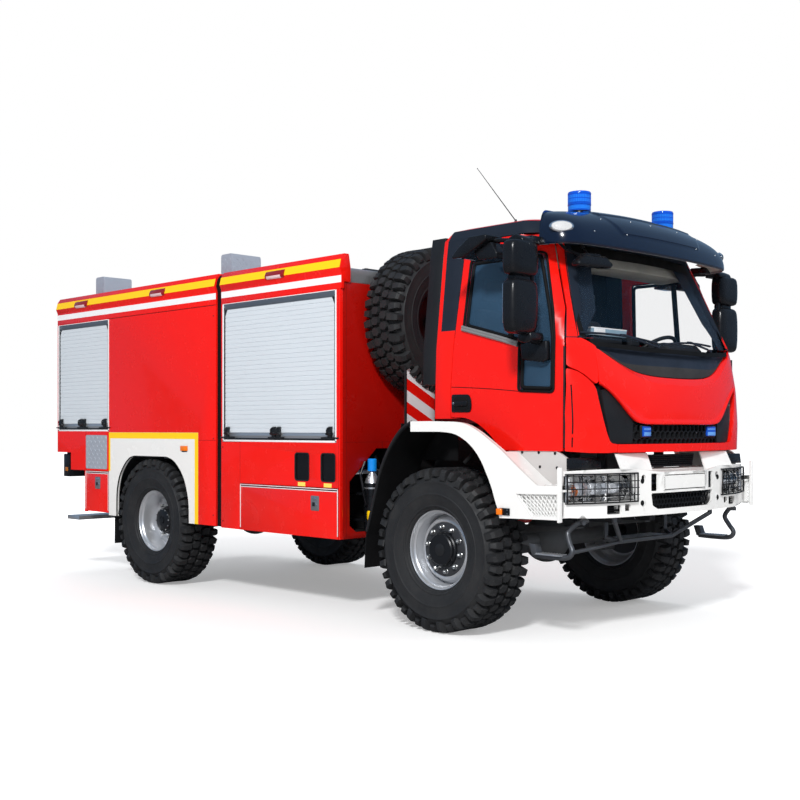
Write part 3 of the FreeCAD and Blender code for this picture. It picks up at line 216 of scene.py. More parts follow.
def pane(name, tint, outside, inside=.05):
    """Thin window glass: how solid it looks from outside and from inside, with a soft painted sky reflection
    lightening its colour.
    """
    finish = Finish(name, tint, .03, Specular_IOR_Level=.5)
    # Painted sky reflection: a soft lighter mottling mixed into the glass colour.
    sky = finish.step(finish.noise(1.6, 4, (1, 1, 2.2)), .35, .75)
    finish.set("Base Color", finish.mix(sky * .6, tint, tuple(min(1, c * 1.9) for c in tint)))
    finish.set("Roughness", finish.step(finish.noise(4, 4), .45, .8, .02, .05))
    behind = finish.node("NewGeometry", output="Backfacing")
    facing = finish.node("SeparateXYZ", inputs={"Vector": finish.node("TexCoord", output="Normal")}, output="Y")
    solid = (facing * finish.axis("y") > 0) * (1 - behind)
    finish.set("Alpha", finish.step(solid, 0, 1, inside, outside))
    return finish.material


def lens(name, colour, pitch=.012, axis="z", clear=.6, ridge=.4):
    """Moulded lamp lens, ribbed for spread."""
    finish = Finish(name, colour, .08, IOR=1.49, Transmission_Weight=clear, Coat_Weight=.5)
    ribs = finish.axis(axis).wave(pitch)
    finish.set("Base Color", finish.mix(ribs * .35, colour, tuple(c * .55 for c in colour)))
    finish.bump(ribs, ridge, .001)
    return finish.material


def tyre_rubber():
    finish = Finish("tyre rubber", (.016, .0165, .018), .66, Specular_IOR_Level=.35)
    dust = finish.step(finish.noise(7, 5), .42, .78)
    scuffs = finish.step(finish.noise(38, 4), .5, .8)
    finish.set("Base Color", finish.mix(dust * .22 + scuffs * .08, (.016, .0165, .018), (.055, .053, .05)))
    finish.set("Roughness", finish.step(finish.noise(20, 3), .3, .7, .52, .72))
    finish.bump(finish.noise(330, 3), .22, .0008)
    return finish.material


def cloth(name, colour):
    """Woven seat cloth."""
    thread = .0024
    finish = Finish(name, colour, .85, Sheen_Weight=.3, Sheen_Roughness=.4)
    weave = finish.axis("x").wave(thread) * finish.axis("y").wave(thread) + finish.axis("z").wave(thread) * .5
    finish.set("Base Color", finish.mix(weave * .4, colour, tuple(min(1, c * 1.9 + .01) for c in colour)))
    finish.bump(weave, .5, .0008)
    return finish.material


RED, WHITE = (.8, .008, .004), (.8, .8, .79)
painted_red = paint("red vehicle paint", RED)
# A darker copy of the body red for the end walls: painted shade, for walls that face away from the light.
painted_shade_red = paint("end wall red, painted shade", (.36, .004, .002), roughness=.3)
shell_red = cab_paint()
painted_white = paint("white vehicle paint", WHITE)
visor_navy = paint("dark navy gloss", (.0015, .0055, .02), roughness=.1, coat=.9, gloss=.17)
black_plastic = plastic("charcoal moulding", (.01, .0105, .012), .45)
smooth_black = plastic("smooth black moulding", (.005, .0055, .007), .28, depth=.08)
grey_plastic = plastic("grey moulding", (.16, .165, .17), .55)
rubber_black = plastic("seal rubber", (.005, .005, .0055), .7, 150, shine=.15)
frame_grey = metal("chassis black", (.012, .0125, .014), .5, .1)
cast_grey = metal("cast metal grey", (.12, .125, .13), .55, .5)
rim_silver = metal("silver wheel paint", (.66, .67, .69), .32, .7, depth=.04, worn=.06)
aluminium = metal("aluminium", (.66, .67, .69), .34, .85, depth=.05, worn=.1)
shutter_grey = metal("anodised shutter", (.8, .82, .85), .38, .25, (1, 1, 40))
chrome = metal("bright reflector", (.92, .92, .93), .07, 1.0, depth=.02)
glass = pane("door glass", (.02, .048, .085), .84, .02)
screen_glass = pane("windscreen glass", (.02, .05, .09), .06)
clear_lens = glazing("lamp glass", (.95, .96, .97), 1.0)
beacon_blue = lens("blue lens", (.003, .085, .62), .046, clear=0.0, ridge=.02)
amber_lens = lens("amber lens", (.95, .3, .01), .01)
red_lens = lens("red lens", (.75, .01, .01), .01)
seat_cloth = cloth("seat cloth", (.05, .055, .065))
rubber_tread = tyre_rubber()

SLOT_FINISH = {"painted_red": painted_red, "painted_white": painted_white, "visor_navy": visor_navy,
    "black_plastic": black_plastic, "frame_grey": frame_grey, "tyre_rubber": rubber_tread, "rim_silver": rim_silver,
    "aluminium": aluminium, "shutter_grey": shutter_grey, "glazing": glass, "cast_grey": cast_grey,
    "lamp_clear": clear_lens, "beacon_blue": beacon_blue, "seat_cloth": seat_cloth, "rubber_black": rubber_black,}


# ---- how shapes are made ----
AXES = {"x": Vector((1, 0, 0)), "y": Vector((0, 1, 0)), "z": Vector((0, 0, 1))}
ACROSS = Matrix.Scale(-1, 4, (0, 1, 0))


def rotated(degrees, axis):
    return Matrix.Rotation(math.radians(degrees), 4, axis)


def pairs(line):
    return zip(line, line[1:])


def faces_of(verts):
    return list({f for v in verts for f in v.link_faces})


class Shape:
    """A piece on the bench, measured from the ground under the front axle: blocks, plates, turned parts
    and rods are added, then it is put on the truck."""

    def __init__(self, node=None):
        self.bm = bmesh.new()
        self.finish = 0
        if node:
            self.bm.from_mesh(nodes[node].data)
            bmesh.ops.remove_doubles(self.bm, verts=self.bm.verts, dist=.00002)
            bmesh.ops.dissolve_limit(self.bm, angle_limit=math.radians(.8), verts=self.bm.verts, edges=self.bm.edges)
            bmesh.ops.translate(self.bm, vec=(-AXLE_X, 0, 0), verts=self.bm.verts)

    def mark(self):
        return set(self.bm.verts)

    def since(self, mark):
        return [v for v in self.bm.verts if v not in mark]

    def paint(self, verts):
        for face in faces_of(verts):
            face.material_index = self.finish
        return verts

    def tone(self, finish):
        """What follows takes this one of the piece's finishes."""
        self.finish = finish
        return self

    def vert(self, *place):
        return self.bm.verts.new(place if len(place) > 1 else place[0])

    def face(self, verts, finish=None):
        self.bm.faces.new(verts).material_index = self.finish if finish is None else finish

    def soften(self, verts, width, segments=2):
        edges = {e for v in verts for e in v.link_edges}
        edges = [e for e in edges if len(e.link_faces) == 2 and e.calc_face_angle(0) > math.radians(20)]
        bmesh.ops.bevel(self.bm, geom=edges, offset=width, offset_type="OFFSET", affect="EDGES", segments=segments,
            profile=.5, material=-1)

    def block(self, low, high, soft=0.0, segments=2):
        """A box between two corners, given in any order."""
        mark, low, high = self.mark(), Vector(low), Vector(high)
        verts = bmesh.ops.create_cube(self.bm, size=1)["verts"]
        bmesh.ops.scale(self.bm, vec=[abs(a - b) for a, b in zip(high, low)], verts=verts)
        bmesh.ops.translate(self.bm, vec=(low + high) / 2, verts=verts)
        if soft:
            self.soften(verts, soft, segments)
        return self.paint(self.since(mark))

    def plate(self, outline, axis, low, high, soft=0.0, segments=2):
        """An outline given in the two axes across `axis`, with its thickness from low to high."""
        mark, k = self.mark(), "xyz".index(axis)
        face = self.bm.faces.new([self.vert((*corner[:k], low, *corner[k:])) for corner in outline])
        made = bmesh.ops.extrude_face_region(self.bm, geom=[face])["geom"]
        top = [v for v in made if isinstance(v, bmesh.types.BMVert)]
        bmesh.ops.translate(self.bm, vec=AXES[axis] * (high - low), verts=top)
        bmesh.ops.recalc_face_normals(self.bm, faces=faces_of(self.since(mark)))
        if soft:
            self.soften(self.since(mark), soft, segments)
        return self.paint(self.since(mark))

    def turn(self, profile, centre, axis, steps=48):
        """A profile of (radius, place along the axis) spun round the axis through centre."""
        mark, along = self.mark(), AXES[axis]
        across = AXES["z"] if axis != "z" else AXES["x"]
        centre = Vector(centre)
        verts = [self.vert(centre + across * max(r, 1e-5) + along * a) for r, a in profile]
        edges = [self.bm.edges.new(pair) for pair in pairs(verts)]
        bmesh.ops.spin(self.bm, geom=verts + edges, cent=centre, axis=along, angle=math.tau, steps=steps,
            use_merge=True)
        bmesh.ops.remove_doubles(self.bm, verts=self.since(mark), dist=2e-5)
        made = self.since(mark)
        bmesh.ops.recalc_face_normals(self.bm, faces=faces_of(made))
        return self.paint(made)

    def ring(self, outline, centre, axis, steps=48):
        """A closed outline of (radius, along) spun into a ring."""
        return self.turn([*outline, outline[0]], centre, axis, steps)

    def disc(self, centre, axis, radius, thick, soft=0.0, steps=32):
        """A turned disc or boss that stands `thick` along its axis from centre."""
        s = min(soft, abs(thick) / 2, radius / 2) * (1 if thick > 0 else -1)
        edge = [(radius, thick - s), (radius - abs(s), thick)] if s else [(radius, thick)]
        return self.turn([(0, 0), (radius, 0), *edge, (0, thick)], centre, axis, steps)

    def rod(self, start, end, radius, sides=12, end_radius=None):
        mark, start, end = self.mark(), Vector(start), Vector(end)
        run = end - start
        turn = run.to_track_quat("Z", "Y").to_matrix().to_4x4()
        bmesh.ops.create_cone(self.bm, cap_ends=True, segments=sides, radius1=radius,
            radius2=radius if end_radius is None else end_radius, depth=run.length,
            matrix=Matrix.Translation((start + end) / 2) @ turn)
        return self.paint(self.since(mark))

    def run(self, points, radius, sides=12):
        """A bent bar: straight runs with a ball at each corner."""
        for a, b in pairs(points):
            self.rod(a, b, radius, sides)
        for p in points[1:-1]:
            self.ball(p, radius, sides)

    def ball(self, centre, radius, sides=12, squash=(1, 1, 1)):
        mark = self.mark()
        verts = bmesh.ops.create_uvsphere(self.bm, u_segments=sides, v_segments=max(6, sides // 2),
            radius=radius)["verts"]
        bmesh.ops.scale(self.bm, vec=squash, verts=verts)
        bmesh.ops.translate(self.bm, vec=centre, verts=verts)
        return self.paint(self.since(mark))

    def frustum(self, foot, crown):
        """A block between two outlines of the same number of corners."""
        low, high = [[self.vert(v) for v in line] for line in (foot, crown)]
        self.face(low[::-1])
        self.face(high)
        for k in range(len(low)):
            self.face((low[k - 1], low[k], high[k], high[k - 1]))
        return low + high

    def lug(self, outline):
        """A tread block from its side outline of (across, radius, half width)."""
        made = self.frustum([(-w, y, r) for y, r, w in outline], [(w, y, r) for y, r, w in outline])
        bmesh.ops.triangulate(self.bm, faces=[f for f in faces_of(made) if len(f.verts) > 4])
        return made

    def move(self, verts, matrix):
        bmesh.ops.transform(self.bm, matrix=matrix, verts=verts)
        return verts

    def around(self, verts, count):
        """The same again at even turns about the axle."""
        self.copies(verts, [Matrix.Rotation(math.tau * k / count, 4, "Y") for k in range(1, count)])

    def copies(self, verts, matrices):
        """More of the same: the given vertices' faces, once for each matrix."""
        geom = [*verts, *{e for v in verts for e in v.link_edges}, *faces_of(verts)]
        for matrix in matrices:
            made = bmesh.ops.duplicate(self.bm, geom=geom)["geom"]
            fresh = [v for v in made if isinstance(v, bmesh.types.BMVert)]
            bmesh.ops.transform(self.bm, matrix=matrix, verts=fresh)
            if matrix.determinant() < 0:
                bmesh.ops.reverse_faces(self.bm, faces=faces_of(fresh))

    def twin(self, mark=()):
        """The same again on the truck's other side, or only what was made since a mark."""
        self.copies(self.since(mark), [ACROSS])
        return self

    def flip(self):
        """Turns the right side's piece into the left's."""
        self.move(self.bm.verts, ACROSS)
        bmesh.ops.reverse_faces(self.bm, faces=self.bm.faces)

    def face_out(self):
        bmesh.ops.recalc_face_normals(self.bm, faces=self.bm.faces)
        return self

    def mesh(self, name):
        made = bpy.data.meshes.new(name)
        self.bm.to_mesh(made)
        self.bm.free()
        return made

    def put(self, name, finishes, body="chassis", instead_of=(), slot="black_plastic", smooth=35, outward=True,
            **finer):
        """Makes the piece and hangs it on a body."""
        if outward:
            self.face_out()
        bmesh.ops.translate(self.bm, vec=(AXLE_X, 0, 0), verts=self.bm.verts)
        return piece(name, self.mesh(name), finishes, body, instead_of, slot, smooth, **finer)


def piece(name, mesh, finishes, body, instead_of, slot, smooth, bevel=0.0, segments=2, thick=0.0):
    made = bpy.data.objects.new(name, mesh)
    scene.collection.objects.link(made)
    for finish in finishes if isinstance(finishes, (list, tuple)) else [finishes]:
        mesh.materials.append(finish)
    mesh.polygons.foreach_set("use_smooth", [True] * len(mesh.polygons))
    mesh.set_sharp_from_angle(angle=math.radians(smooth))
    if thick:
        wall = made.modifiers.new("wall", "SOLIDIFY")
        wall.thickness, wall.offset = thick, -1
    if bevel:
        edge = made.modifiers.new("edges", "BEVEL")
        edge.width, edge.segments, edge.limit_method = bevel, segments, "ANGLE"
        edge.angle_limit, edge.harden_normals = math.radians(smooth), True
    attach(made, body)
    if instead_of:
        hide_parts(*([instead_of] if isinstance(instead_of, str) else instead_of))
    return made


def turned_to(place, axis, degrees):
    """A turn about an axis through a place."""
    return Matrix.Translation(place) @ rotated(degrees, axis) @ Matrix.Translation(-Vector(place))


def curved(points, steps=6):
    """More points along a smooth line through the given ones."""
    out, last = [], len(points) - 1
    for k in range(last):
        p = [Vector(points[min(max(k + d, 0), last)]) for d in (-1, 0, 1, 2)]
        for j in range(steps):
            t = j / steps
            out.append(tuple(.5 * (2 * p[1] + (p[2] - p[0]) * t + (2 * p[0] - 5 * p[1] + 4 * p[2] - p[3]) * t * t
                + (3 * p[1] - p[0] - 3 * p[2] + p[3]) * t ** 3)))
    return [*out, tuple(points[-1])]


def between(a, b, t):
    return tuple(p + (q - p) * t for p, q in zip(a, b))


def rounded(low, high, corner, steps=4):
    """A rounded rectangle's outline from one corner to the other."""
    (a0, b0), (a1, b1) = low, high
    points = []
    for (ca, cb), start in (((a1 - corner, b1 - corner), 0), ((a0 + corner, b1 - corner), 90),
            ((a0 + corner, b0 + corner), 180), ((a1 - corner, b0 + corner), 270)):
        for k in range(steps + 1):
            t = math.radians(start + 90 * k / steps)
            points.append((ca + corner * math.cos(t), cb + corner * math.sin(t)))
    return points


# ---- CAD nodes that stay: their finishes ----
# The end walls take the red with painted shade.
OWN_FINISH = {"windscreen": screen_glass, "cab_shell": shell_red, "end_walls": painted_shade_red,
    "knuckle_right": frame_grey, "knuckle_left": frame_grey}
for part in frame["record"]["subparts"]:
    node = nodes[part["node"]]
    node.data.materials.clear()
    node.data.materials.append(OWN_FINISH.get(part["node"], SLOT_FINISH[part["material_slot"]]))
    node.data.polygons.foreach_set("use_smooth", [True] * len(node.data.polygons))
    weld = node.modifiers.new("weld", "WELD")
    weld.merge_threshold = .00002
    smooth = node.modifiers.new("edges", "BEVEL")
    smooth.width, smooth.segments, smooth.limit_method = .003, 2, "ANGLE"
    smooth.angle_limit, smooth.harden_normals = math.radians(32), True
    smooth.use_clamp_overlap = True


# ---- wheels ----
def tyre_shape():
    """A block-tread tyre about the origin, its axle along Y."""
    radius, pitches = WHEEL_RADIUS, 22
    tyre = Shape()
    flank = [(.287, .12), (.288, .14), (.296, .152), (.306, .156), (.312, .166), (.318, .168), (.324, .166),
        (.35, .176), (.385, .186), (.396, .1885), (.4, .1915), (.406, .1915), (.41, .189), (.445, .1895),
        (.478, .187), (.484, .1895), (.491, .1895), (.496, .184), (.512, .176), (.53, .164), (.544, .146),
        (.55, .118), (.553, .06)]
    tyre.ring([*flank, (.554, 0.0), *[(r, -y) for r, y in reversed(flank)], (.3, -.1), (.3, .1)], (0, 0, 0), "y", 120)
    step = 360 / pitches
    tread = (-.036, .026), (-.014, .004), (.03, .009), (.036, .066), (.01, .092), (-.036, .078)
    long_lug = [(.088, .545, 36), (.092, radius, 27), (.14, .5895, 26), (.172, .583, 22), (.19, .566, 19),
        (.1955, .535, 19), (.1945, .512, 22), (.186, .502, 26), (.16, .52, 34), (.12, .54, 38)]
    short_lug = [(.104, .545, 32), (.108, radius, 23), (.144, .5895, 24), (.17, .583, 20), (.186, .566, 17),
        (.1935, .545, 16), (.19, .53, 20), (.16, .53, 30), (.12, .542, 34)]
    for outline, offset, lean in ((long_lug, 0.0, 10), (short_lug, step / 2, -6)):
        for side in (1, -1):
            verts = tyre.lug([(y * side, r, w / 1000) for y, r, w in outline])
            tyre.move(verts, turned_to((0, .145 * side, 0), "Z", lean * side))
            tyre.move(verts, rotated(offset + (step / 4 if side < 0 else 0), "Y"))
            tyre.around(verts, pitches)
    for side in (1, -1):
        foot = [(x * side, y * side, .545) for x, y in tread]
        crown = [(x * side * .84, side * (y * .84 + .00736), radius - .0015 - .01 * y * y) for x, y in tread]
        verts = tyre.frustum(foot, crown)
        tyre.move(verts, rotated(step / 8 if side > 0 else step * 3 / 8, "Y"))
        tyre.around(verts, 2 * pitches)
    return tyre.face_out()


def rim_barrel(rim):
    """The rolled steel barrel, the same for every wheel."""
    outer = [(.2875, .124), (.2875, .131), (.2845, .134), (.279, .133), (.275, .128), (.2725, .116), (.268, .106),
        (.26, .098), (.256, .08), (.2535, .04)]
    inner = [(.258, .04), (.261, .08), (.266, .092), (.275, .101), (.279, .112), (.281, .124)]
    rim.ring([*outer, *[(r, -y) for r, y in reversed(outer)], *[(r, -y) for r, y in reversed(inner)], *inner],
        (0, 0, 0), "y", 96)


def nuts(rim, radius, face, height=.026):
    rim.finish = 3
    first = rim.disc((0, face - .004, radius), "y", .0185, .009, .002, 20)
    first += rim.disc((0, face, radius), "y", .0165, height, .003, 6)
    first += rim.disc((0, face + height - .004, radius), "y", .009, .01, .002, 12)
    rim.around(first, 10)


def front_rim():
    """Shallow wheel with its disc out near the lip."""
    rim = Shape()
    rim_barrel(rim)
    rim.turn([(.2545, .002), (.246, .012), (.236, .03), (.226, .05), (.214, .061), (.204, .064), (.196, .06),
        (.196, .05), (.212, .046), (.224, .02), (.24, -.004), (.2545, -.01)], (0, 0, 0), "y", 96)
    rim.tone(1).turn([(0, .052), (.197, .052), (.197, .06), (.192, .066), (.182, .068), (.128, .068), (0, .068)],
        (0, 0, 0), "y", 72)
    nuts(rim, .16, .068)
    rim.tone(2).turn([(0, .066), (.128, .066), (.128, .078), (.124, .086), (.116, .092), (.113, .11), (.106, .117),
        (.018, .118), (.017, .116), (.01, .116), (.009, .119), (0, .1195)], (0, 0, 0), "y", 60)
    rim.around(rim.disc((0, .0885, .119), "y", .0045, .006, .001, 8), 8)
    return rim.face_out()


def rear_rim():
    """The same barrel with its disc set deep, and the hub standing out of it."""
    rim = Shape()
    rim_barrel(rim)
    rim.turn([(.2555, -.052), (.24, -.046), (.222, -.034), (.205, -.03), (0, -.03), (0, -.042), (.204, -.042),
        (.222, -.046), (.24, -.058), (.2555, -.064)], (0, 0, 0), "y", 96)
    rim.around(rim.disc((0, -.0305, .222), "y", .018, .004, .001, 16), 8)
    nuts(rim, .165, -.03, .03)
    rim.tone(2).turn([(0, -.036), (.134, -.036), (.134, -.014), (.128, -.006), (.116, -.002), (.114, .04),
        (.108, .05), (.098, .054), (.04, .056), (.038, .052), (.03, .052), (.028, .062), (0, .063)], (0, 0, 0), "y",
        60)
    rim.around(rim.tone(3).disc((0, .05, .103), "y", .0065, .008, .0015, 6), 12)
    return rim.face_out()


hub_black = metal("hub enamel", (.007, .0075, .009), .35, .1, worn=.1)
disc_grey = metal("wheel disc grey", (.045, .047, .052), .42, .35, worn=.1)
nut_steel = metal("plated nuts", (.55, .55, .54), .3, .95)
wheel_finishes = [rim_silver, disc_grey, hub_black, nut_steel]


tread_mesh = tyre_shape().mesh("tyre")
rim_meshes = {"front": front_rim().mesh("front rim"), "rear": rear_rim().mesh("rear rim")}
for end in ("front", "rear"):
    for side, sign in SIDES.items():
        low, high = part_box(f"{end}_tyre_{side}")
        place = (Matrix.Translation((low + high) / 2) @ rotated(0 if sign > 0 else 180, "Z")
            @ rotated(7 if end == "front" else 3, "Y"))
        for kind, source, finishes, slot_name in (("tyre", tread_mesh, rubber_tread, "tyre_rubber"),
                ("rim", rim_meshes[end], wheel_finishes, "rim_silver")):
            mesh = source.copy()
            mesh.transform(place)
            piece(f"{end}_{kind}_detail_{side}", mesh, finishes, f"{end}_wheel_{side}", f"{end}_{kind}_{side}",
                slot_name, 30)
low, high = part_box("spare_tyre")
mesh = tread_mesh.copy()
mesh.transform(Matrix.Translation((low + high) / 2) @ rotated(90, "Z") @ rotated(20, "Y")
    @ Matrix.Scale((high.x - low.x) / TYRE_WIDTH, 4, (0, 1, 0)))
piece("spare_tyre_detail", mesh, rubber_tread, "chassis", "spare_tyre", "tyre_rubber", 30)


# ---- front end: bumper, lamps, grilles, steps ----
def bumper_front(y):
    """How far forward the bumper's bowed face stands at a place across it."""
    bow = [(0, 0), (.26, -.006), (.5, -.034), (.62, -.048), (.81, -.078), (.98, -.128), (1.14, -.196)]
    y, nose = abs(y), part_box("front_bumper")[1].x - AXLE_X
    for (a, da), (b, db) in pairs(bow):
        if y <= b:
            return nose + da + (db - da) * (y - a) / (b - a)
    return nose + bow[-1][1]


mesh_black = metal("black wire mesh", (.008, .008, .009), .45, .3)
# Near-black for the unlit insides of slots, recesses and the backing behind grilles and windows: painted shade where
# no light reaches.
painted_shade_black = plastic("unlit inside, painted shade", (.004, .004, .0045), .8)
guard_steel = metal("dark coated tube", (.1, .105, .115), .34, .6, worn=.1)
lamp_inside = metal("lamp housing silver", (.8, .82, .86), .26, .7, depth=.02, worn=.05)
amber_bulb = lens("amber bulb", (.98, .22, .005), .006, clear=.3)

bumper = Shape("front_bumper")
for v in bumper.bm.verts:
    if 1.15 < v.co.z < 1.2:
        t = min(max((.6 - abs(v.co.y)) / .3, 0), 1)
        v.co.z -= .03 * t * t * (3 - 2 * t)
        e = min(max((abs(v.co.y) - .7) / .44, 0), 1)
        v.co.z -= .01 * e * e
    if v.co.z < .9:
        e = min(max((abs(v.co.y) - .8) / .34, 0), 1)
        v.co.z += .012 * e * e
bumper.put("bumper_skin", painted_white, "chassis", "front_bumper", "painted_white", 30, bevel=.009, segments=3,
    outward=False)

plate = Shape()
x = bumper_front(0)
for low, high in (((-.27, 1.031), (.27, 1.041)), ((-.27, 1.131), (.27, 1.141)), ((-.27, 1.041), (-.26, 1.131)),
        ((.26, 1.041), (.27, 1.131))):
    plate.block((x - .012, *low), (x, *high), .002)
plate.tone(1).block((x - .014, -.261, 1.04), (x - .004, .261, 1.132), .003)
blank_plate = plastic("blank plate", (.8, .81, .82), .35, 200, .05)
plate.put("plate_holder", [smooth_black, blank_plate])

# The slot liners are in the near-black of painted shade.
slots = Shape()
for y0, y1, z0, z1 in ((.7, .83, .888, .948), (.61, .665, .905, .95), (.33, .4, 1.03, 1.15)):
    deep = bumper_front((y0 + y1) / 2) - .05
    slots.block((deep - .01, y0 + .002, z0 + .002), (deep + .004, y1 - .002, z1 - .002))
    for k in range(4):
        z = z0 + (z1 - z0) * (k + .5) / 4
        slots.block((deep, y0 + .002, z - .003), (deep + .022, y1 - .002, z + .003), .001)
for z in (.952, 1.102):
    slots.disc((bumper_front(.49) - .003, .49, z), "x", .019, .007, .003, 24)
slots.twin().put("bumper_slot_liners", painted_shade_black)


def honeycomb(shape, y0, y1, z0, z1, x0, x1, cell=.034, wall=.004, keep=lambda y, z: True):
    """A sheet of six-sided cells between two planes."""
    verts = shape.turn([(cell * .577, x0), (cell * .577, x1), (cell * .577 - wall, x1), (cell * .577 - wall, x0),
        (cell * .577, x0)], (0, 0, 0), "x", 6)
    shifts, row, z = [], 0, z0
    while z <= z1:
        y = y0 + (cell / 2 if row % 2 else 0)
        while y <= y1:
            if keep(y, z):
                shifts.append(Matrix.Translation((0, y, z)))
            y += cell
        z += cell * .866
        row += 1
    shape.copies(verts, shifts)
    bmesh.ops.delete(shape.bm, geom=verts, context="VERTS")


comb = Shape()
honeycomb(comb, -.37, .37, .915, 1.012, 1.24, 1.252, .04, .004, lambda y, z: abs(y) < .33 + (z - .905) * .5)
# Backing behind the mesh in the near-black of painted shade.
comb.tone(1).block((1.17, -.395, .895), (1.18, .395, 1.02))
comb.put("bumper_mesh", [mesh_black, painted_shade_black], smooth=20)

grille = Shape()
for k in range(27):
    y = -.302 + .604 * k / 26
    grille.rod((1.16, y * .93, 1.192), (1.16, y, 1.273), .0028, 6)
for k in range(6):
    z = 1.2 + .0135 * k
    grille.rod((1.163, -.3, z), (1.163, .3, z), .0028, 6)
# Backing behind the rods in the near-black of painted shade.
grille.tone(1).plate([(-.316, 1.275), (.316, 1.275), (.29, 1.19), (-.29, 1.19)], "x", 1.15, 1.154)
grille.finish = 0
edge = [(1.16, y, z) for y, z in ((-.314, 1.272), (.314, 1.272), (.29, 1.193), (-.29, 1.193))]
for k in range(4):
    grille.rod(edge[k - 1], edge[k], .006, 8)
grille.finish = 2
mark = grille.mark()
grille.plate([(1.084, 1.265), (1.1, 1.265), (1.11, 1.19), (1.084, 1.19)], "y", -1.11, -.757, .004)
grille.block((1.098, -1.07, 1.205), (1.106, -.8, 1.25), .003)
grille.twin(mark)
grille.put("lower_grille_detail", [mesh_black, painted_shade_black, smooth_black], "chassis", "lower_grille", "black_plastic")


def lamp_side(sign):
    """One headlamp with its indicator, stepped reflectors, lens and wire guard."""
    name = "right" if sign < 0 else "left"
    inner, outer, z0, z1 = .57, 1.138, .98, 1.145
    box = Shape()
    spots = [inner + (outer - inner) * k / 12 for k in range(13)]
    bow = [(bumper_front(y) - .02, sign * y) for y in reversed(spots)]
    plan = [(1.086, sign * outer), *bow, (1.086, sign * inner)]
    box.plate(plan, "z", z0 - .003, z0 + .002)
    box.plate(plan, "z", z1 - .002, z1 + .003)
    box.block((1.086, sign * inner, z0), (1.092, sign * outer, z1))
    box.block((1.088, sign * (inner - .002), z0), (bumper_front(inner) - .02, sign * (inner + .003), z1))
    box.tone(1).block((1.088, sign * .572, z0 + .002), (bumper_front(.66) - .035, sign * .655, z1 - .002), .006)
    box.finish = 0
    for y, radius in ((.74, .076), (.9, .07)):
        front = bumper_front(y) - .032
        box.turn([(radius + .004, 1.094), (radius + .004, front), (radius, front), (radius * .96, front - .012),
            (radius * .8, front - .038), (radius * .55, front - .052), (radius * .25, front - .06),
            (0.0, front - .062)], (0, sign * y, 1.062), "x", 40)
        box.tone(2).turn([(0, front - .06), (.012, front - .06), (.012, front - .034), (.009, front - .026),
            (0, front - .024)], (0, sign * y, 1.062), "x", 20)
        box.finish = 0
    front = bumper_front(1.055) - .026
    box.turn([(.052, 1.094), (.05, front), (.044, front - .004), (.03, front - .012), (0, front - .016)],
        (0, sign * 1.055, 1.062), "x", 32)
    box.tone(3).ball((front - .006, sign * 1.055, 1.062), .017, 16)
    box.ball((front - .004, sign * 1.02, 1.05), .009, 12)
    box.put(f"headlamp_inside_{name}", [lamp_inside, smooth_black, chrome, amber_bulb], slot="lamp_clear", smooth=40)

    cover = Shape()
    verts = [cover.vert(bumper_front(y) - .01, sign * y, z0) for y in spots]
    edges = [cover.bm.edges.new(pair) for pair in pairs(verts)]
    up = bmesh.ops.extrude_edge_only(cover.bm, edges=edges)["geom"]
    raised = [g for g in up if isinstance(g, bmesh.types.BMVert)]
    bmesh.ops.translate(cover.bm, vec=(0, 0, z1 - z0), verts=raised)
    cover.put(f"headlamp_lens_{name}", clear_lens, slot="lamp_clear", thick=.003)

    rubber, low, high = Shape(), z0 - .004, z1 + .004
    for z in (low, high):
        rubber.run([(bumper_front(y) - .004, sign * y, z) for y in spots], .0045, 8)
    for y in (inner - .003, outer + .001):
        x = bumper_front(y) - .004
        rubber.rod((x, sign * y, low), (x, sign * y, high), .0045, 8)
    rubber.put(f"headlamp_seal_{name}", rubber_black, slot="rubber_black")

    guard = Shape()
    ends, thick, thin = (.555, 1.135), (.016, .0055), (.026, .0035)
    for z, (out, radius) in ((.968, thick), (1.014, thin), (1.062, thin), (1.108, thin), (1.158, thick)):
        guard.run([(bumper_front(y) + out, sign * y, z) for y in (ends[0], *spots[1:], ends[1])], radius, 8)
    for y in (.6, .645, .745, .85, .95, 1.04, 1.1):
        x = bumper_front(y) + .026
        guard.rod((x, sign * y, .97), (x, sign * y, 1.156), .0035, 8)
    for y in ends:
        x = bumper_front(y)
        guard.rod((x + .016, sign * y, .968), (x + .016, sign * y, 1.158), .0055, 8)
        for z in (.968, 1.158):
            guard.rod((x - .01, sign * y, z), (x + .018, sign * y, z), .005, 8)
            guard.ball((x + .016, sign * y, z), .0055, 8)
    guard.put(f"headlamp_guard_{name}", mesh_black)


for sign in SIDES.values():
    lamp_side(sign)

tails = Shape()
tail_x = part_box("lamps")[0].x - AXLE_X
tails.block((tail_x + .012, -1.213, .962), (tail_x + .142, -.987, 1.198), .01)
tails.block((tail_x + .044, -1.19, 1.196), (tail_x + .104, -1.01, 1.248), .003)
for finish, z in ((1, 1.155), (2, 1.08), (3, 1.005)):
    tails.finish = finish
    for y in (-1.045, -1.145):
        tails.disc((tail_x + .013, y, z), "x", .033, -.012, .003, 28)
tails.tone(2).block((tail_x + .05, -1.2155, 1.02), (tail_x + .11, -1.2125, 1.06), .001)
tails.twin().put("tail_lamps", [smooth_black, red_lens, amber_lens, clear_lens], "chassis", "lamps", "lamp_clear")

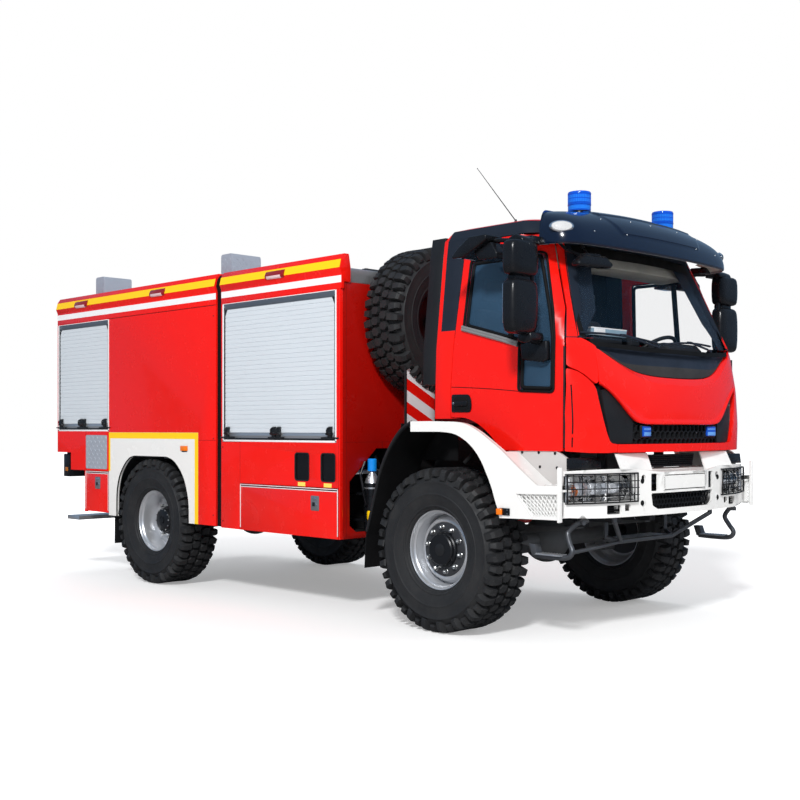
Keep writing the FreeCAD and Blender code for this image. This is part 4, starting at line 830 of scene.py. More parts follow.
steps = Shape()
bar = curved([(1.112, -.955, .848), (1.065, -.985, .822), (1.022, -1.01, .768), (1.048, -1.03, .706),
    (1.08, -1.04, .655), (1.066, -1.045, .618), (1.018, -1.045, .602), (.9, -1.045, .6), (.775, -1.045, .604)], 5)
steps.run(bar, .018, 14)
steps.ball((1.112, -.955, .846), .034, 16, (1, 1, .5))
steps.rod((1.075, -.955, .835), (1.135, -.985, .835), .014)
steps.plate([(.738, .682), (.792, .682), (.815, .618), (.768, .6)], "y", -1.075, -1.015, .004)
steps.run([(1.12, -.62, .856), (1.12, -.62, .825), (.97, -.33, .66), (.97, 0.0, .66)], .017, 12)
steps.run([(.97, -.33, .66), (.88, -.38, .69), (.88, -.38, .83)], .016, 12)
steps.rod((.965, -.295, .66), (.8, -.295, .66), .014, 12)
steps.tone(1).block((.8, -1.085, .612), (1.01, -1.0, .6185), .002)
for k in range(9):
    x = .806 + .19 * k / 8
    steps.block((x, -1.083, .6175), (x + .01, -1.002, .6235), .001, 1)
steps.twin()
steps.tone(0).run([(.97, -.33, .66), (1.01, -.6, .65), (1.05, -1.0, .636)], .014, 12)
steps.tone(1).block((.8, -.3, .667), (.965, .3, .6745), .002)
for k in range(22):
    y = -.285 + .57 * k / 21
    for j in range(5):
        x = .815 + .03 * j
        verts = steps.block((x, y - .009, .6735), (x + .004, y + .009, .676), .0008, 1)
        steps.move(verts, turned_to((x + .002, y, .675), "Z", 45 if (k + j) % 2 else -45))
steps.put("front_step_tubes", [guard_steel, aluminium], "chassis", "front_steps", "frame_grey")


# ---- equipment body ----
slat_white = paint("slat white", (.6, .65, .7), roughness=.38)
trim_white = paint("trim white", (.8, .8, .82), roughness=.3)
band_yellow = paint("reflective yellow", (1.0, .62, .002), roughness=.35)
band_white = paint("reflective white", (.86, .86, .88), roughness=.35)
housing_grey = metal("shutter housing grey", (.16, .19, .23), .35, .6)
latch_black = plastic("latch black", (.012, .013, .015), .32)
latch_steel = metal("latch plate", (.42, .42, .43), .3, .8)
pale_tab = paint("pale yellow tab", (.95, .72, .12), roughness=.4)
orange_marker = lens("orange marker", (.95, .2, .003), .008, clear=0.0)
red_marker = lens("dull red marker", (.28, .004, .006), .01, clear=0.0)
milky = plastic("milky lens", (.6, .42, .44), .25, 200, .05)
chequer_silver = metal("bright chequer plate", (.62, .65, .71), .34, .55, worn=.1)

SIDE_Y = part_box("side_panels")[1].y
x_low, x_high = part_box("side_panels")[0].x - AXLE_X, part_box("side_panels")[1].x - AXLE_X


def lozenges(shape, place, across, up, pitch=.036, size=.027, high=.0016):
    """Raised bars of chequer plate over a rectangle; `place` puts its corner, X across, Y up, Z outward."""
    bar = [(-size / 2, 0, 0), (0, -size * .17, 0), (size / 2, 0, 0), (0, size * .17, 0), (-size * .32, 0, high),
        (size * .32, 0, high)]
    faces = ((0, 1, 4), (1, 5, 4), (1, 2, 5), (2, 3, 5), (3, 4, 5), (3, 0, 4))
    cols, rows = int((across - pitch * .6) / pitch) + 1, int((up - pitch * .6) / pitch) + 1
    for i in range(cols):
        for j in range(rows):
            centre = ((i + .5) * across / cols, (j + .5) * up / rows, 0)
            here = place @ Matrix.Translation(centre) @ rotated(45 if (i + j) % 2 else -45, "Z")
            verts = [shape.vert(here @ Vector(p)) for p in bar]
            for f in faces:
                shape.face([verts[k] for k in f])


def shutter(half, z0, z1):
    """A roller shutter in its frame, its skin in the plane Y = 0 and its outside towards -Y."""
    door, edge = Shape(), .016
    for x in (-half, half - edge):
        door.block((x, -.003, z0), (x + edge, .026, z1), .002)
    door.block((-half, -.003, z0), (half, .026, z0 + edge), .002)
    door.block((-half, -.003, z1 - .006), (half, .026, z1), .002)
    door.finish = 1
    for x in (-half + edge, half - edge - .012):
        door.block((x, .002, z0 + edge), (x + .012, .026, z1 - .01), .002)
    door.block((-half + edge, 0.0, z0 + edge), (half - edge, .026, z0 + edge + .016), .003)
    door.tone(2).plate([(-.001, z1 - .006), (.004, z1 - .052), (.022, z1 - .052), (.022, z1 - .006)], "x",
        -half + edge, half - edge, .002)
    door.finish = 3
    low, high, inner = z0 + .03, z1 - .05, half - edge - .01
    count = round((high - low - .045) / .0385)
    pitch = (high - low - .045) / count
    outline = [(.02, low + .045)]
    for k in range(count):
        z = low + .045 + pitch * k
        outline += [(.0125, z + .001), (.009, z + .0035), (.0082, z + pitch * .5), (.009, z + pitch - .003)]
    outline += [(.02, high)]
    door.plate(outline, "x", -inner, inner)
    door.tone(4).plate([(.006, low), (.006, low + .012), (.003, low + .018), (.003, low + .03), (.008, low + .044),
        (.02, low + .044), (.02, low)], "x", -inner, inner, .001)
    door.finish = 1
    for x in (-inner + .004, inner - .004):
        sign = 1 if x < 0 else -1
        door.plate([(x, z1 - .052), (x + sign * .03, z1 - .052), (x + sign * .012, z1 - .085), (x, z1 - .11)], "y",
            .004, .008, .001)
    for spot in (-1, 0, 1):
        centre = spot * (half - .075)
        for shift in ((-.032, .032) if spot == 0 else (0,)):
            x = centre + shift
            door.plate([(.006, low + .004), (-.01, low + .012), (-.018, low + .05), (-.01, low + .092),
                (.008, low + .098)], "x", x - .022, x + .022, .004)
            door.rod((x - .031, -.012, low + .04), (x + .031, -.012, low + .04), .012, 12)
            door.ring([(.03, -.005), (.03, .005), (.02, .005), (.02, -.005)], (x, -.01, low + .062), "x", 20)
        door.block((centre - .07, -.012, low - .002), (centre + .07, .006, low + .01), .004)
        door.rod((centre - .1, -.006, low + .006), (centre + .1, -.006, low + .006), .006, 10)
    return door


shutter_finishes = [trim_white, latch_black, housing_grey, slat_white, aluminium]
for which, a, b, z0 in (("front", -2.518, -1.025, 1.349), ("rear", -5.432, -4.413, 1.434)):
    side_door = shutter((b - a) / 2, z0, 2.54)
    side_door.move(side_door.bm.verts, Matrix.Translation(((a + b) / 2, -SIDE_Y, 0)))
    side_door.twin().put(f"side_shutters_{which}", shutter_finishes, "chassis", "roller_shutters", "shutter_grey", 25)
back_door = shutter(.7, 1.3, 2.5)
back_door.move(back_door.bm.verts, Matrix.Translation((x_low, 0, 0)) @ rotated(-90, "Z"))
back_door.put("back_shutter", shutter_finishes, "chassis", "roller_shutters", "shutter_grey", 25)

side = Shape()
y = -SIDE_Y
for a, b in ((x_low + .002, -2.619), (-2.537, x_high + .014)):
    side.tone(0).plate([(y, 2.592), (y - .0006, 2.592), (y - .0006, 2.646), (y, 2.646)], "x", a, b)
    side.tone(1).plate([(y - .0185, 2.7055), (y - .0192, 2.7055), (y - .0032, 2.7705), (y - .0025, 2.7705)], "x", a,
        b)
for x in (-4.929, -3.523, -1.771):
    side.tone(2).plate([(y - .012, 2.69), (y - .03, 2.7), (y - .032, 2.722), (y - .018, 2.752), (y - .004, 2.76),
        (y + .004, 2.752)], "x", x - .12, x + .12, .004)
    side.tone(3).plate([(y - .016, 2.6885), (y - .0315, 2.698), (y - .0335, 2.716), (y - .024, 2.716)], "x", x - .1,
        x + .085, .003)
side.finish = 4
for a, b, z0, z1 in ((-4.415, -2.887, 1.366, 1.424), (-2.942, -2.887, .608, 1.366), (-4.415, -4.385, 1.045, 1.366)):
    side.block((a + .001, y - .0007, z0), (b - .001, y, z1 - .001))
side.tone(5).block((-3.158, y - .012, 1.258), (-3.048, y, 1.304), .006)
side.tone(6).block((-3.138, y - .006, 1.25), (-3.06, y, 1.258), .001)
side.twin().put("side_bands_and_markers", [band_white, band_yellow, red_marker, milky, band_yellow, orange_marker,
    smooth_black], "chassis", slot="painted_white")

seams = Shape()
for a, b, z0, z1 in ((-2.887, -2.619, 1.355, 1.3575), (-2.537, -2.268, 1.345, 1.3475), (-2.268, -2.2655, .603, 1.346),
        (-.9995, -.997, .603, 2.544), (-4.411, -2.619, 2.5395, 2.5445), (-4.862, -4.859, 1.04, 1.43),
        (-4.4165, -4.4135, 1.02, 1.43)):
    seams.block((a, y - .0006, z0), (b, y, z1))
for x, z in ((-2.655, 1.372), (-2.655, .7), (-2.655, 2.45), (-2.515, .66), (-2.515, 1.3)):
    seams.disc((x, y, z), "y", .006, -.003, .001, 16)
seam_dark = plastic("seam shadow", (.1, .002, .002), .6)
seams.twin().put("panel_seams", seam_dark, slot="rubber_black")

joint = Shape()
half_joint = [(1.15, 2.7), (1.172, 2.8), (1.206, 2.8), (1.236, 2.766), (1.25, 2.703), (1.2345, 2.655), (1.2345, .606),
    (1.205, .606), (1.205, 2.64)]
joint.plate(half_joint + [(-a, b) for a, b in half_joint[::-1]], "x", -2.6155, -2.5405)
for z in (.75, 1.05, 1.55, 1.95, 2.35):
    for sign in (-1, 1):
        joint.disc((-2.578, sign * 1.2345, z), "y", .009, sign * .004, .001, 16)
joint.put("module_seal", rubber_black, slot="rubber_black", bevel=.004)

windows = Shape()
for a, b in ((-1.535, -1.352), (-1.212, -1.037)):
    outer = rounded((a + .0005, 1.0405), (b - .0005, 1.2675), .028)
    hole = rounded((a + .01, 1.05), (b - .01, 1.258), .02)
    for k in range(len(outer)):
        p, q, r, s = outer[k - 1], outer[k], hole[k - 1], hole[k]
        bezel, skirt, reveal = ((p, -3), (q, -3), (s, -1), (r, -1)), ((p, -3), (q, -3), (q, 29), (p, 29)), ((r, -1),
            (s, -1), (s, 28), (r, 28))
        # The reveals take finish 1, the near-black of painted shade.
        for finish, corners in ((0, bezel), (0, skirt), (1, reveal)):
            windows.face([windows.vert(v[0], y + deep / 1000, v[1]) for v, deep in corners], finish)
    windows.tone(2).plate(hole, "y", y + .01, y + .013)
    # A sheet in the near-black of painted shade behind each window.
    windows.tone(1).block((a, y + .03, 1.03), (b, y + .034, 1.28))
    windows.tone(3).block(((a + b) / 2 - .05, y - .001, .9985), ((a + b) / 2 + .042, y, 1.03))
bmesh.ops.remove_doubles(windows.bm, verts=windows.bm.verts, dist=1e-5)
smoked = lens("smoked pane", (.005, .005, .006), .2, clear=0.0)
windows.twin().put("low_windows", [frame_grey, painted_shade_black, smoked, pale_tab], slot="glazing")

for which, x0, x1, z0, z1, lx, lz in (("front", -2.262, -1.007, .6, .99, -1.329, .81),
        ("rear", -4.862, -4.421, .631, 1.034, -4.673, .86)):
    for name, sign in SIDES.items():
        flap, yo = Shape(), -SIDE_Y - .002
        for a, b, c, d in ((x0, x1, z1 - .007, z1 - .001), (x0 + .012, x1 - .012, z1 - .024, z1 - .018),
                (x0, x0 + .007, z0 + .02, z1), (x1 - .007, x1, z0 + .02, z1)):
            flap.block((a, yo + .004, c), (b, yo - .0025, d), .001)
        flap.tone(1).block((x0 + .008, yo + .002, z1 - .017), (x1 - .008, yo - .0006, z1 - .0085))
        flap.plate(rounded((lx + .018, lz + .034), (lx + .052, lz + .066), .005), "y", yo - .003, yo - .0036)
        flap.tone(2).plate(rounded((lx, lz), (lx + .1, lz + (.118 if which == "front" else .12)), .008), "y", yo,
            yo - .003, .001)
        flap.tone(3).disc((lx + .068, yo - .003, lz + .046), "y", .009, -.004, .001, 20)
        flap.block((lx + .03, yo - .003, lz + .08), (lx + .07, yo - .006, lz + .105), .002)
        if sign > 0:
            flap.flip()
        flap.put(f"{which}_flap_trim_{name}", [trim_white, latch_black, latch_steel, chrome], f"{which}_flap_{name}",
            slot="aluminium")

panel = Shape()
panel.plate(rounded((-4.857, 1.058), (-4.447, 1.396), .016), "y", y - .004, y, .001)
lozenges(panel, Matrix.Translation((-4.857, y - .004, 1.058)) @ rotated(90, "X"), .41, .338, .04, .032, .002)
panel.twin()
for x in (x_low + .345, -2.89):
    panel.plate([(x, 2.63), (x, 3.012), (x + .006, 3.028), (x + .02, 3.035), (x + .145, 3.035), (x + .159, 3.028),
        (x + .165, 3.012), (x + .165, 2.63)], "y", -.9995, -.6735, .002)
    for dx, corner, turn, wide in ((.006, -.9995, 0, .153), (.165, -.994, 90, .315), (0, -.679, -90, .315)):
        lozenges(panel, Matrix.Translation((x + dx, corner, 2.66)) @ rotated(turn, "Z") @ rotated(90, "X"), wide,
            .345, .034, .028, .0018)
panel.put("chequer_panels", chequer_silver, slot="aluminium", smooth=12)

ladder = Shape()
deck = 2.63
for dy in (.56, .952):
    ladder.plate([(dy, deck + .092), (dy + .028, deck + .092), (dy + .028, deck + .165), (dy, deck + .165)], "x",
        -4.698, -1.062, .004)
    ladder.plate([(dy - .05, deck + .15), (dy + .07, deck + .15), (dy + .07, deck + .156), (dy - .05, deck + .156)],
        "x", -1.5, -1.44, .001)
for k in range(13):
    x = -4.55 + .281 * k
    ladder.rod((x, .574, deck + .127), (x, .966, deck + .127), .015, 16)
ladder.finish = 1
for x in (-4.3, -2.9, -1.5):
    ladder.block((x, .54, deck), (x + .06, 1.0, deck + .088), .004)
ladder.finish = 0
for x, y0 in ((-1.18, .35), (-1.18, -.05), (-1.24, -.45)):
    ladder.rod((x, y0, deck), (x, y0, deck + .13), .03, 20)
    ladder.disc((x, y0, deck + .13), "z", .045, .03, .006, 24)
    ladder.rod((x - .25, y0 + .02, deck + .06), (x, y0, deck + .06), .018, 14)
ladder.tone(2).rod((-1.12, -.86, deck + .11), (-1.12, -.2, deck + .11), .012, 12)
for k in range(5):
    ladder.block((-1.16, -.86 + .15 * k, deck), (-1.1, -.84 + .15 * k, deck + .12), .003)
ladder.put("roof_ladder_and_fittings", [aluminium, frame_grey, guard_steel], "chassis", "roof_gear", "aluminium", 30)

wall = Shape()
# The recess walls are in the near-black of painted shade for unlit insides.
recess = [(-1.084, .649), (-1.151, .703), (-1.151, 1.046), (-.864, 1.303), (-.655, 1.303), (-.655, .649)]
wall.plate(recess, "x", x_high - .3, x_high - .29)
for k, b in enumerate(recess):
    a = recess[k - 1]
    wall.face([wall.vert(x_high - deep, *v) for deep, v in ((.001, a), (.001, b), (.29, b), (.29, a))])
wall.finish = 1
for across, z in ((-1.145, .98), (-1.1, .86), (-1.1, .79)):
    wall.disc((x_high - .29, across, z), "x", .008, .006, .001, 16)
wall.finish = 2
for a, b, c, d in ((-1.2195, -.64, 1.352, 1.354), (-.8, -.797, 1.303, 1.353), (-1.185, -1.183, .61, 2.59),
        (-.3, -.298, 1.1, 2.59)):
    wall.block((x_high - .001, a, c), (x_high + .0007, b, d))
wall.twin().put("front_wall_recess", [painted_shade_black, chrome, seam_dark], outward=False)

bottle = Shape()
bx, by = -.95, -.94
bottle.turn([(0, .64), (.06, .65), (.066, .68), (.066, 1.0), (.06, 1.03)], (bx, by, 0), "z", 32)
bottle.tone(1).turn([(.06, 1.03), (.052, 1.06), (.03, 1.1), (.02, 1.12), (.02, 1.135)], (bx, by, 0), "z", 32)
bottle.turn([(.066, .985), (.068, .985), (.068, .998), (.066, .998)], (bx, by, 0), "z", 32)
bottle.tone(2).turn([(0, 1.125), (.036, 1.125), (.036, 1.215), (.03, 1.222), (0, 1.222)], (bx, by, 0), "z", 32)
bottle.tone(3).turn([(0, .745), (.036, .745), (.04, .755), (.04, .805), (.034, .815), (0, .815)],
    (bx + .045, by - .045, 0), "z", 28)
bottle.finish = 0
for z in (.72, .93):
    bottle.ring([(.067, z), (.071, z), (.071, z + .02), (.067, z + .02)], (bx, by, 0), "z", 32)
    bottle.block((bx - .33, by - .02, z), (bx - .06, by + .02, z + .02), .002)
bottle.run([(bx - .02, by - .06, 1.2), (bx - .03, by - .1, 1.1), (bx + .02, by - .115, .98),
    (bx + .02, by - .085, .86)], .01, 10)
bottle.run([(bx - .05, by + .08, 1.24), (bx - .05, by + .16, 1.1), (bx - .05, by + .15, .8)], .012, 10)
band_blue = plastic("blue band", (.005, .22, .75), .35)
bottle.put("air_bottle", [smooth_black, aluminium, band_blue, band_yellow])

stripes = Shape()
for k in range(6):
    stripes.finish = k % 2
    z = 1.78 - .09 * k
    stripes.plate([(-.58, z), (-.9, z + .16), (-.9, z + .07), (-.58, z - .09)], "x", -.612, -.608)
stripes.finish = 2
for a, b, top in ((-.915, -.898, 1.95), (-.585, -.568, 1.8)):
    stripes.block((-.618, a, 1.23), (-.603, b, top), .003)
stripes.put("striped_panel", [trim_white, painted_red, frame_grey], slot="painted_white")


# ---- front wings ----
def strand_mesh(shape, corners, columns, rows, radius):
    """Expanded metal over a four-cornered opening: crossing strands from edge to edge."""
    a, b, c, d = [Vector(v) for v in corners]

    def spot(u, v):
        return (a.lerp(b, u)).lerp(d.lerp(c, u), v)

    for i in range(columns):
        for j in range(rows):
            u0, u1, v0, v1 = i / columns, (i + 1) / columns, j / rows, (j + 1) / rows
            shape.rod(spot(u0, v0), spot(u1, v1), radius, 5)
            shape.rod(spot(u0, v1), spot(u1, v0), radius, 5)
    for p, q in ((a, b), (b, c), (c, d), (d, a)):
        shape.rod(p, q, radius * 1.4, 6)


wing_top = [(-.215, 1.511), *curved([(-.02, 1.512), (.109, 1.509), (.236, 1.505), (.329, 1.489), (.421, 1.451),
    (.511, 1.4), (.586, 1.352), (.659, 1.304), (.774, 1.216), (.887, 1.133), (.93, 1.104)], 4)]
wing_end = [(.956, 1.088), (1.01, 1.086), (1.118, 1.09)]
wing_arch = curved([(.63, .857), (.619, .904), (.589, .98), (.556, 1.069), (.511, 1.158), (.451, 1.258), (.36, 1.35),
    (.236, 1.416), (.109, 1.435), (-.02, 1.437)], 4) + [(-.215, 1.437)]
hole = [(.774, 1.026), (1.108, 1.034), (1.108, .888), (.908, .88)]
# A greyer copy of the white for the plate behind the wing: painted shade, for the cab's shadow on it.
painted_shade_white = paint("white behind the wing, painted shade", (.52, .5, .49), roughness=.35)
wing_y = -SIDE_Y
wing = Shape()
wing.plate([*wing_top, hole[0], hole[3], (.908, .864), *wing_arch], "y", wing_y, wing_y + .012)
wing.plate([wing_top[-1], *wing_end, (1.118, 1.034), hole[1], hole[0]], "y", wing_y, wing_y + .012)
wing.plate([hole[3], hole[2], (1.118, .888), (1.118, .868), (.908, .864)], "y", wing_y, wing_y + .012)
full_top = wing_top + wing_end
for (x, z), (u, w) in pairs(full_top):
    reach = wing_y + .035 if z > 1.312 and x > -.02 else -1.066
    quad = [(x, wing_y + .003, z), (u, wing_y + .003, w), (u, reach, w), (x, reach, z)]
    wing.face([wing.vert(v) for v in quad])
    wing.face([wing.vert(px, py, pz - .012) for px, py, pz in quad[::-1]])
for (x, z), (u, w) in pairs(wing_arch):
    near, far = wing_y + .001, wing_y + .06
    wing.face([wing.vert(v) for v in ((x, near, z), (u, near, w), (u, far, w + .006), (x, far, z + .006))])
# The plate behind the wing, in the white with painted shade.
wing.tone(4).plate([(.575, 1.15), (.8, 1.06), (1.074, 1.06), (1.074, 1.262), (.99, 1.312), (.575, 1.312)], "y", -1.09,
    -1.066, .002)
wing.tone(0).block((1.118, wing_y - .004, .852), (1.134, wing_y + .034, 1.208), .004)
wing.block((1.066, wing_y + .03, .87), (1.074, -1.066, 1.06), .002)
wing.block((.774, wing_y + .012, 1.045), (1.11, -1.09, 1.06), .002)
wing.plate([(.632, .858), (.908, .864), (.908, .874), (.634, .868)], "y", wing_y + .002, -1.1, .002)
wing.block((.774, wing_y + .04, .88), (1.11, wing_y + .046, 1.044))
strand_mesh(wing, [(x, wing_y + .016, z) for x, z in hole], 9, 3, .003)
lozenges(wing, Matrix.Translation((.85, wing_y + .012, 1.0905)), .215, .13, .034, .026, .0016)
wing.finish = 1
for x, z in ((.851, 1.203), (.994, 1.2), (.698, 1.298), (.841, 1.298), (.978, 1.295)):
    wing.disc((x, -1.09, z), "y", .0095, -.006, .002, 20)
    wing.disc((x, -1.095, z), "y", .004, -.003, .001, 6)
wing.block((.636, wing_y - .01, .878), (.724, wing_y, .926), .003)
wing.tone(2).block((.619, wing_y - .026, .88), (.668, wing_y - .008, .924), .008, 3)
wing.finish = 3
for z in (.889, .915):
    wing.disc((.708, wing_y - .01, z), "y", .004, -.003, .001, 8)
wing.twin().put("front_wing_skins", [painted_white, smooth_black, orange_marker, chrome, painted_shade_white], "chassis",
    "front_fenders", "painted_white", 32, outward=False)

liner = Shape()
outer = curved([(-.216, 1.508), (-.325, 1.45), (-.447, 1.316), (-.545, 1.14), (-.604, .96), (-.66, .78),
    (-.708, .64)], 5)
outer += [(-.722, .405)]
inner = [(-.712, .405)] + curved([(-.698, .64), (-.65, .78), (-.592, .964), (-.533, 1.134), (-.436, 1.304),
    (-.318, 1.434), (-.216, 1.49)], 5)
liner.plate(outer + inner, "y", -1.236, -.842)
liner.finish = 1
lip = [(x, -1.238, z) for x, z in outer[:-3]]
for a, b in pairs(lip):
    liner.rod(a, b, .011, 8)
liner.tone(0).block((-.215, -1.064, 1.476), (.2, -.842, 1.486), .002)
liner.block((-.2, -.85, 1.475), (-.15, -.395, 1.5), .003)
liner.block((-.2, -.47, 1.02), (-.15, -.395, 1.5), .003)
liner.plate([(-.7, .98), (-.62, 1.28), (-.48, 1.37), (.52, 1.37), (.6, 1.28), (.66, 1.02)], "y", -.545, -.535, .002)
liner.block((-.72, -.85, .98), (-.712, -.395, 1.5))
liner.plate([(-.7, 1.22), (-.12, 1.22), (-.12, 1.476), (-.35, 1.476)], "y", -.846, -.84)
liner.run([(-.1, -.8, 1.2), (-.05, -.72, 1.3), (.1, -.66, 1.33), (.3, -.62, 1.26)], .016, 10)
liner.run([(.42, -.6, 1.12), (.3, -.66, 1.2), (.22, -.62, 1.34)], .012, 10)
liner.tone(2).run([(.33, -.6, 1.2), (.41, -.64, 1.24), (.47, -.6, 1.3)], .01, 10)
liner.tone(3).block((-.232, -1.246, 1.462), (-.214, -1.1, 1.508), .003)
liner.twin().put("front_liner_skins", [rubber_black, frame_grey, aluminium, latch_black], "chassis", "front_liners",
    "rubber_black", 35)


# ---- rear arch ----
arch_curve = [(-3.037, .608), *curved([(-3.037, .72), (-3.052, .84), (-3.105, .985), (-3.18, 1.085), (-3.285, 1.165),
    (-3.4, 1.1975)], 5), *curved([(-3.95, 1.1975), (-4.04, 1.175), (-4.13, 1.11), (-4.215, 1.005), (-4.262, .87),
    (-4.272, .74)], 5), (-4.272, .608)]
arch = Shape()
arch.plate([(-2.888, .608), (-2.888, 1.424), (-4.414, 1.424), (-4.414, .608), *reversed(arch_curve)], "y", -SIDE_Y,
    -SIDE_Y + .028)
arch.finish = 1
for (x, z), (u, w) in pairs(arch_curve):
    arch.rod((x, -SIDE_Y + .004, z), (u, -SIDE_Y + .004, w), .006, 8)
arch.twin().put("rear_arch_skins", [painted_white, rubber_black], "chassis", "rear_arch_panels", "painted_white", 30)


# ---- visor and roof ----
def visor_plan(columns):
    """The visor's edge seen from above, at the height of its lip, from tip to tip."""
    half = [(1.14, 0.0), (1.135, .3), (1.115, .6), (1.085, .85), (1.05, .97), (.99, 1.035), (.9, 1.062), (.82, 1.066)]
    line = curved([(x, -y) for x, y in half[:0:-1]] + half, 30)
    lengths = [0.0]
    for a, b in pairs(line):
        lengths.append(lengths[-1] + math.dist(a, b))
    out, k = [], 0
    for i in range(columns + 1):
        reach = lengths[-1] * i / columns
        while k < len(line) - 2 and lengths[k + 1] < reach:
            k += 1
        out.append(between(line[k], line[k + 1], (reach - lengths[k]) / (lengths[k + 1] - lengths[k])))
    return out


def visor_skin():
    """The roof visor as one lofted shell with a raised middle, its underside in a second finish."""
    rows = curved([(2.69, .012), (2.7, .002), (2.715, 0.0), (2.76, .004), (2.81, .018), (2.86, .045), (2.9, .08),
        (2.935, .125), (2.962, .175), (2.982, .235), (2.995, .31), (3.0, .4), (3.0, .5)], 5)
    rows = [(2.775, .2), (2.765, .15), (2.748, .06), (2.715, .016), (2.7, .014)] + rows + [(2.93, .53)]
    shape, grid = Shape(), []
    for px, py in visor_plan(160):
        line = []
        for k, (z, inset) in enumerate(rows):
            y = py * (1 - inset * .33)
            back = .625 + .205 * (y / 1.06) ** 2
            x = max(px - inset, back)
            drop = 1 - .22 * abs(y / 1.06) ** 2.5
            half = .51 + .6 * (z - 2.83)
            rise = min(max((half - abs(y)) / .015 + .5, 0), 1) * min(max((z - 2.796) / .012, 0), 1)
            rise = rise * rise * (3 - 2 * rise) * .009
            high = 2.7 + (z - 2.7) * drop + (rise if z > 2.95 else 0)
            line.append(shape.vert(x - .01 + (rise if z < 2.97 else 0), y, min(high, 3.0)))
        grid.append(line)
    for a, b in pairs(grid):
        for k in range(len(a) - 1):
            shape.face((a[k], b[k], b[k + 1], a[k + 1]), 1 if k < 3 else 2 if k < 6 else 0)
    bmesh.ops.remove_doubles(shape.bm, verts=shape.bm.verts, dist=1e-5)
    return shape


visor_grey = plastic("visor underside", (.3, .29, .26), .6)
visor = visor_skin()
visor_tree = BVHTree.FromBMesh(visor.bm)
visor.put("visor_skin", [visor_navy, visor_grey, grey_plastic], "cab", "visor", "visor_navy", 24)

trim = Shape()
for sign in (-1, 1):
    place = Matrix.Translation((.972, sign * 1.014, 2.807)) @ rotated(42 * sign, "Z") @ rotated(-9, "Y")
    for finish, size, push in ((1, (.02, .084, .042), 0.0), (0, (.026, .074, .035), .003)):
        trim.tone(finish).move(trim.ball((push, 0, 0), 1.0, 32, size), place)
trim.finish = 2
for y, z in ((-.62, 2.9), (.62, 2.9), (-.3, 2.915), (.3, 2.915), (-.05, 2.92), (-.45, 2.8), (.45, 2.8), (.78, 2.79),
        (-.78, 2.79)):
    spot = visor_tree.ray_cast(Vector((2.0, y, z)), Vector((-1, 0, 0)))[0]
    trim.ball(spot, .0055, 10)
trim.put("visor_lamps", [clear_lens, chrome, aluminium], "cab", slot="lamp_clear")

beacon_bright = lens("lit blue lens", (.012, .19, .85), .014, clear=0.0, ridge=.02)
gear = Shape()
for sign in (-1, 1):
    x, y, z = here = .761, sign * .533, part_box("visor")[1].z - .015
    gear.tone(1).turn([(0, 0), (.08, 0), (.08, .006), (.076, .01), (0, .01)], here, "z", 48)
    gear.tone(0).turn([(0.0, .009), (.0805, .009), (.0805, .05), (.083, .052), (.083, .06), (.0805, .062),
        (.08, .128), (.0825, .13), (.0825, .138), (.078, .146), (.06, .149), (0, .149)], here, "z", 72)
    for k in range(40):
        a = math.tau * k / 40
        c, d = x + .0803 * math.cos(a), y + .0803 * math.sin(a)
        gear.rod((c, d, z + .062), (c, d, z + .129), .0016, 5)
    for low, high in ((.02, .046), (.07, .092), (.1, .12)):
        gear.tone(2).ring([(.0808, low), (.0808, high), (.08, high), (.08, low)], here, "z", 72)
gear.finish = 1
x, y, roof = .25, -.62, 2.93
gear.turn([(0, 0), (.028, 0), (.028, .01), (.02, .022), (.012, .045), (.007, .066), (0, .068)], (x, y, roof), "z", 28)
gear.rod((x - .002, y, roof + .058), (x - .375, y, roof + .5), .004, 8, .0022)
gear.ball((x - .375, y, roof + .5), .004, 8)
gear.put("beacons_and_aerial", [beacon_blue, smooth_black, beacon_bright], "cab", "roof_fittings", "beacon_blue", 30)


# ---- mirrors ----
def housing(shape, centre, half, z0, z1):
    """A barrel-shaped mirror housing with soft shoulders and a flat back."""
    grid, steps, power = [], 40, 4.2
    for t, s in ((0, 0.0), (0, .62), (.015, .76), (.05, .88), (.12, .95), (.28, .99), (.5, 1.0), (.72, .99),
            (.88, .95), (.95, .88), (.985, .76), (1, .62), (1, 0.0)):
        line = []
        for k in range(steps):
            a = math.tau * k / steps
            c, d = math.cos(a), math.sin(a)
            x = math.copysign(abs(c) ** (2 / power), c) * half[0]
            y = math.copysign(abs(d) ** (2 / power), d) * half[1]
            if x < 0:
                x *= .55
            line.append(shape.vert(centre[0] + x * s, centre[1] + y * s, z0 + (z1 - z0) * t))
        grid.append(line)
    for a, b in pairs(grid):
        for k in range(steps):
            shape.face((a[k - 1], a[k], b[k], b[k - 1]))
    bmesh.ops.remove_doubles(shape.bm, verts=[v for line in (grid[0], grid[-1]) for v in line], dist=1e-5)


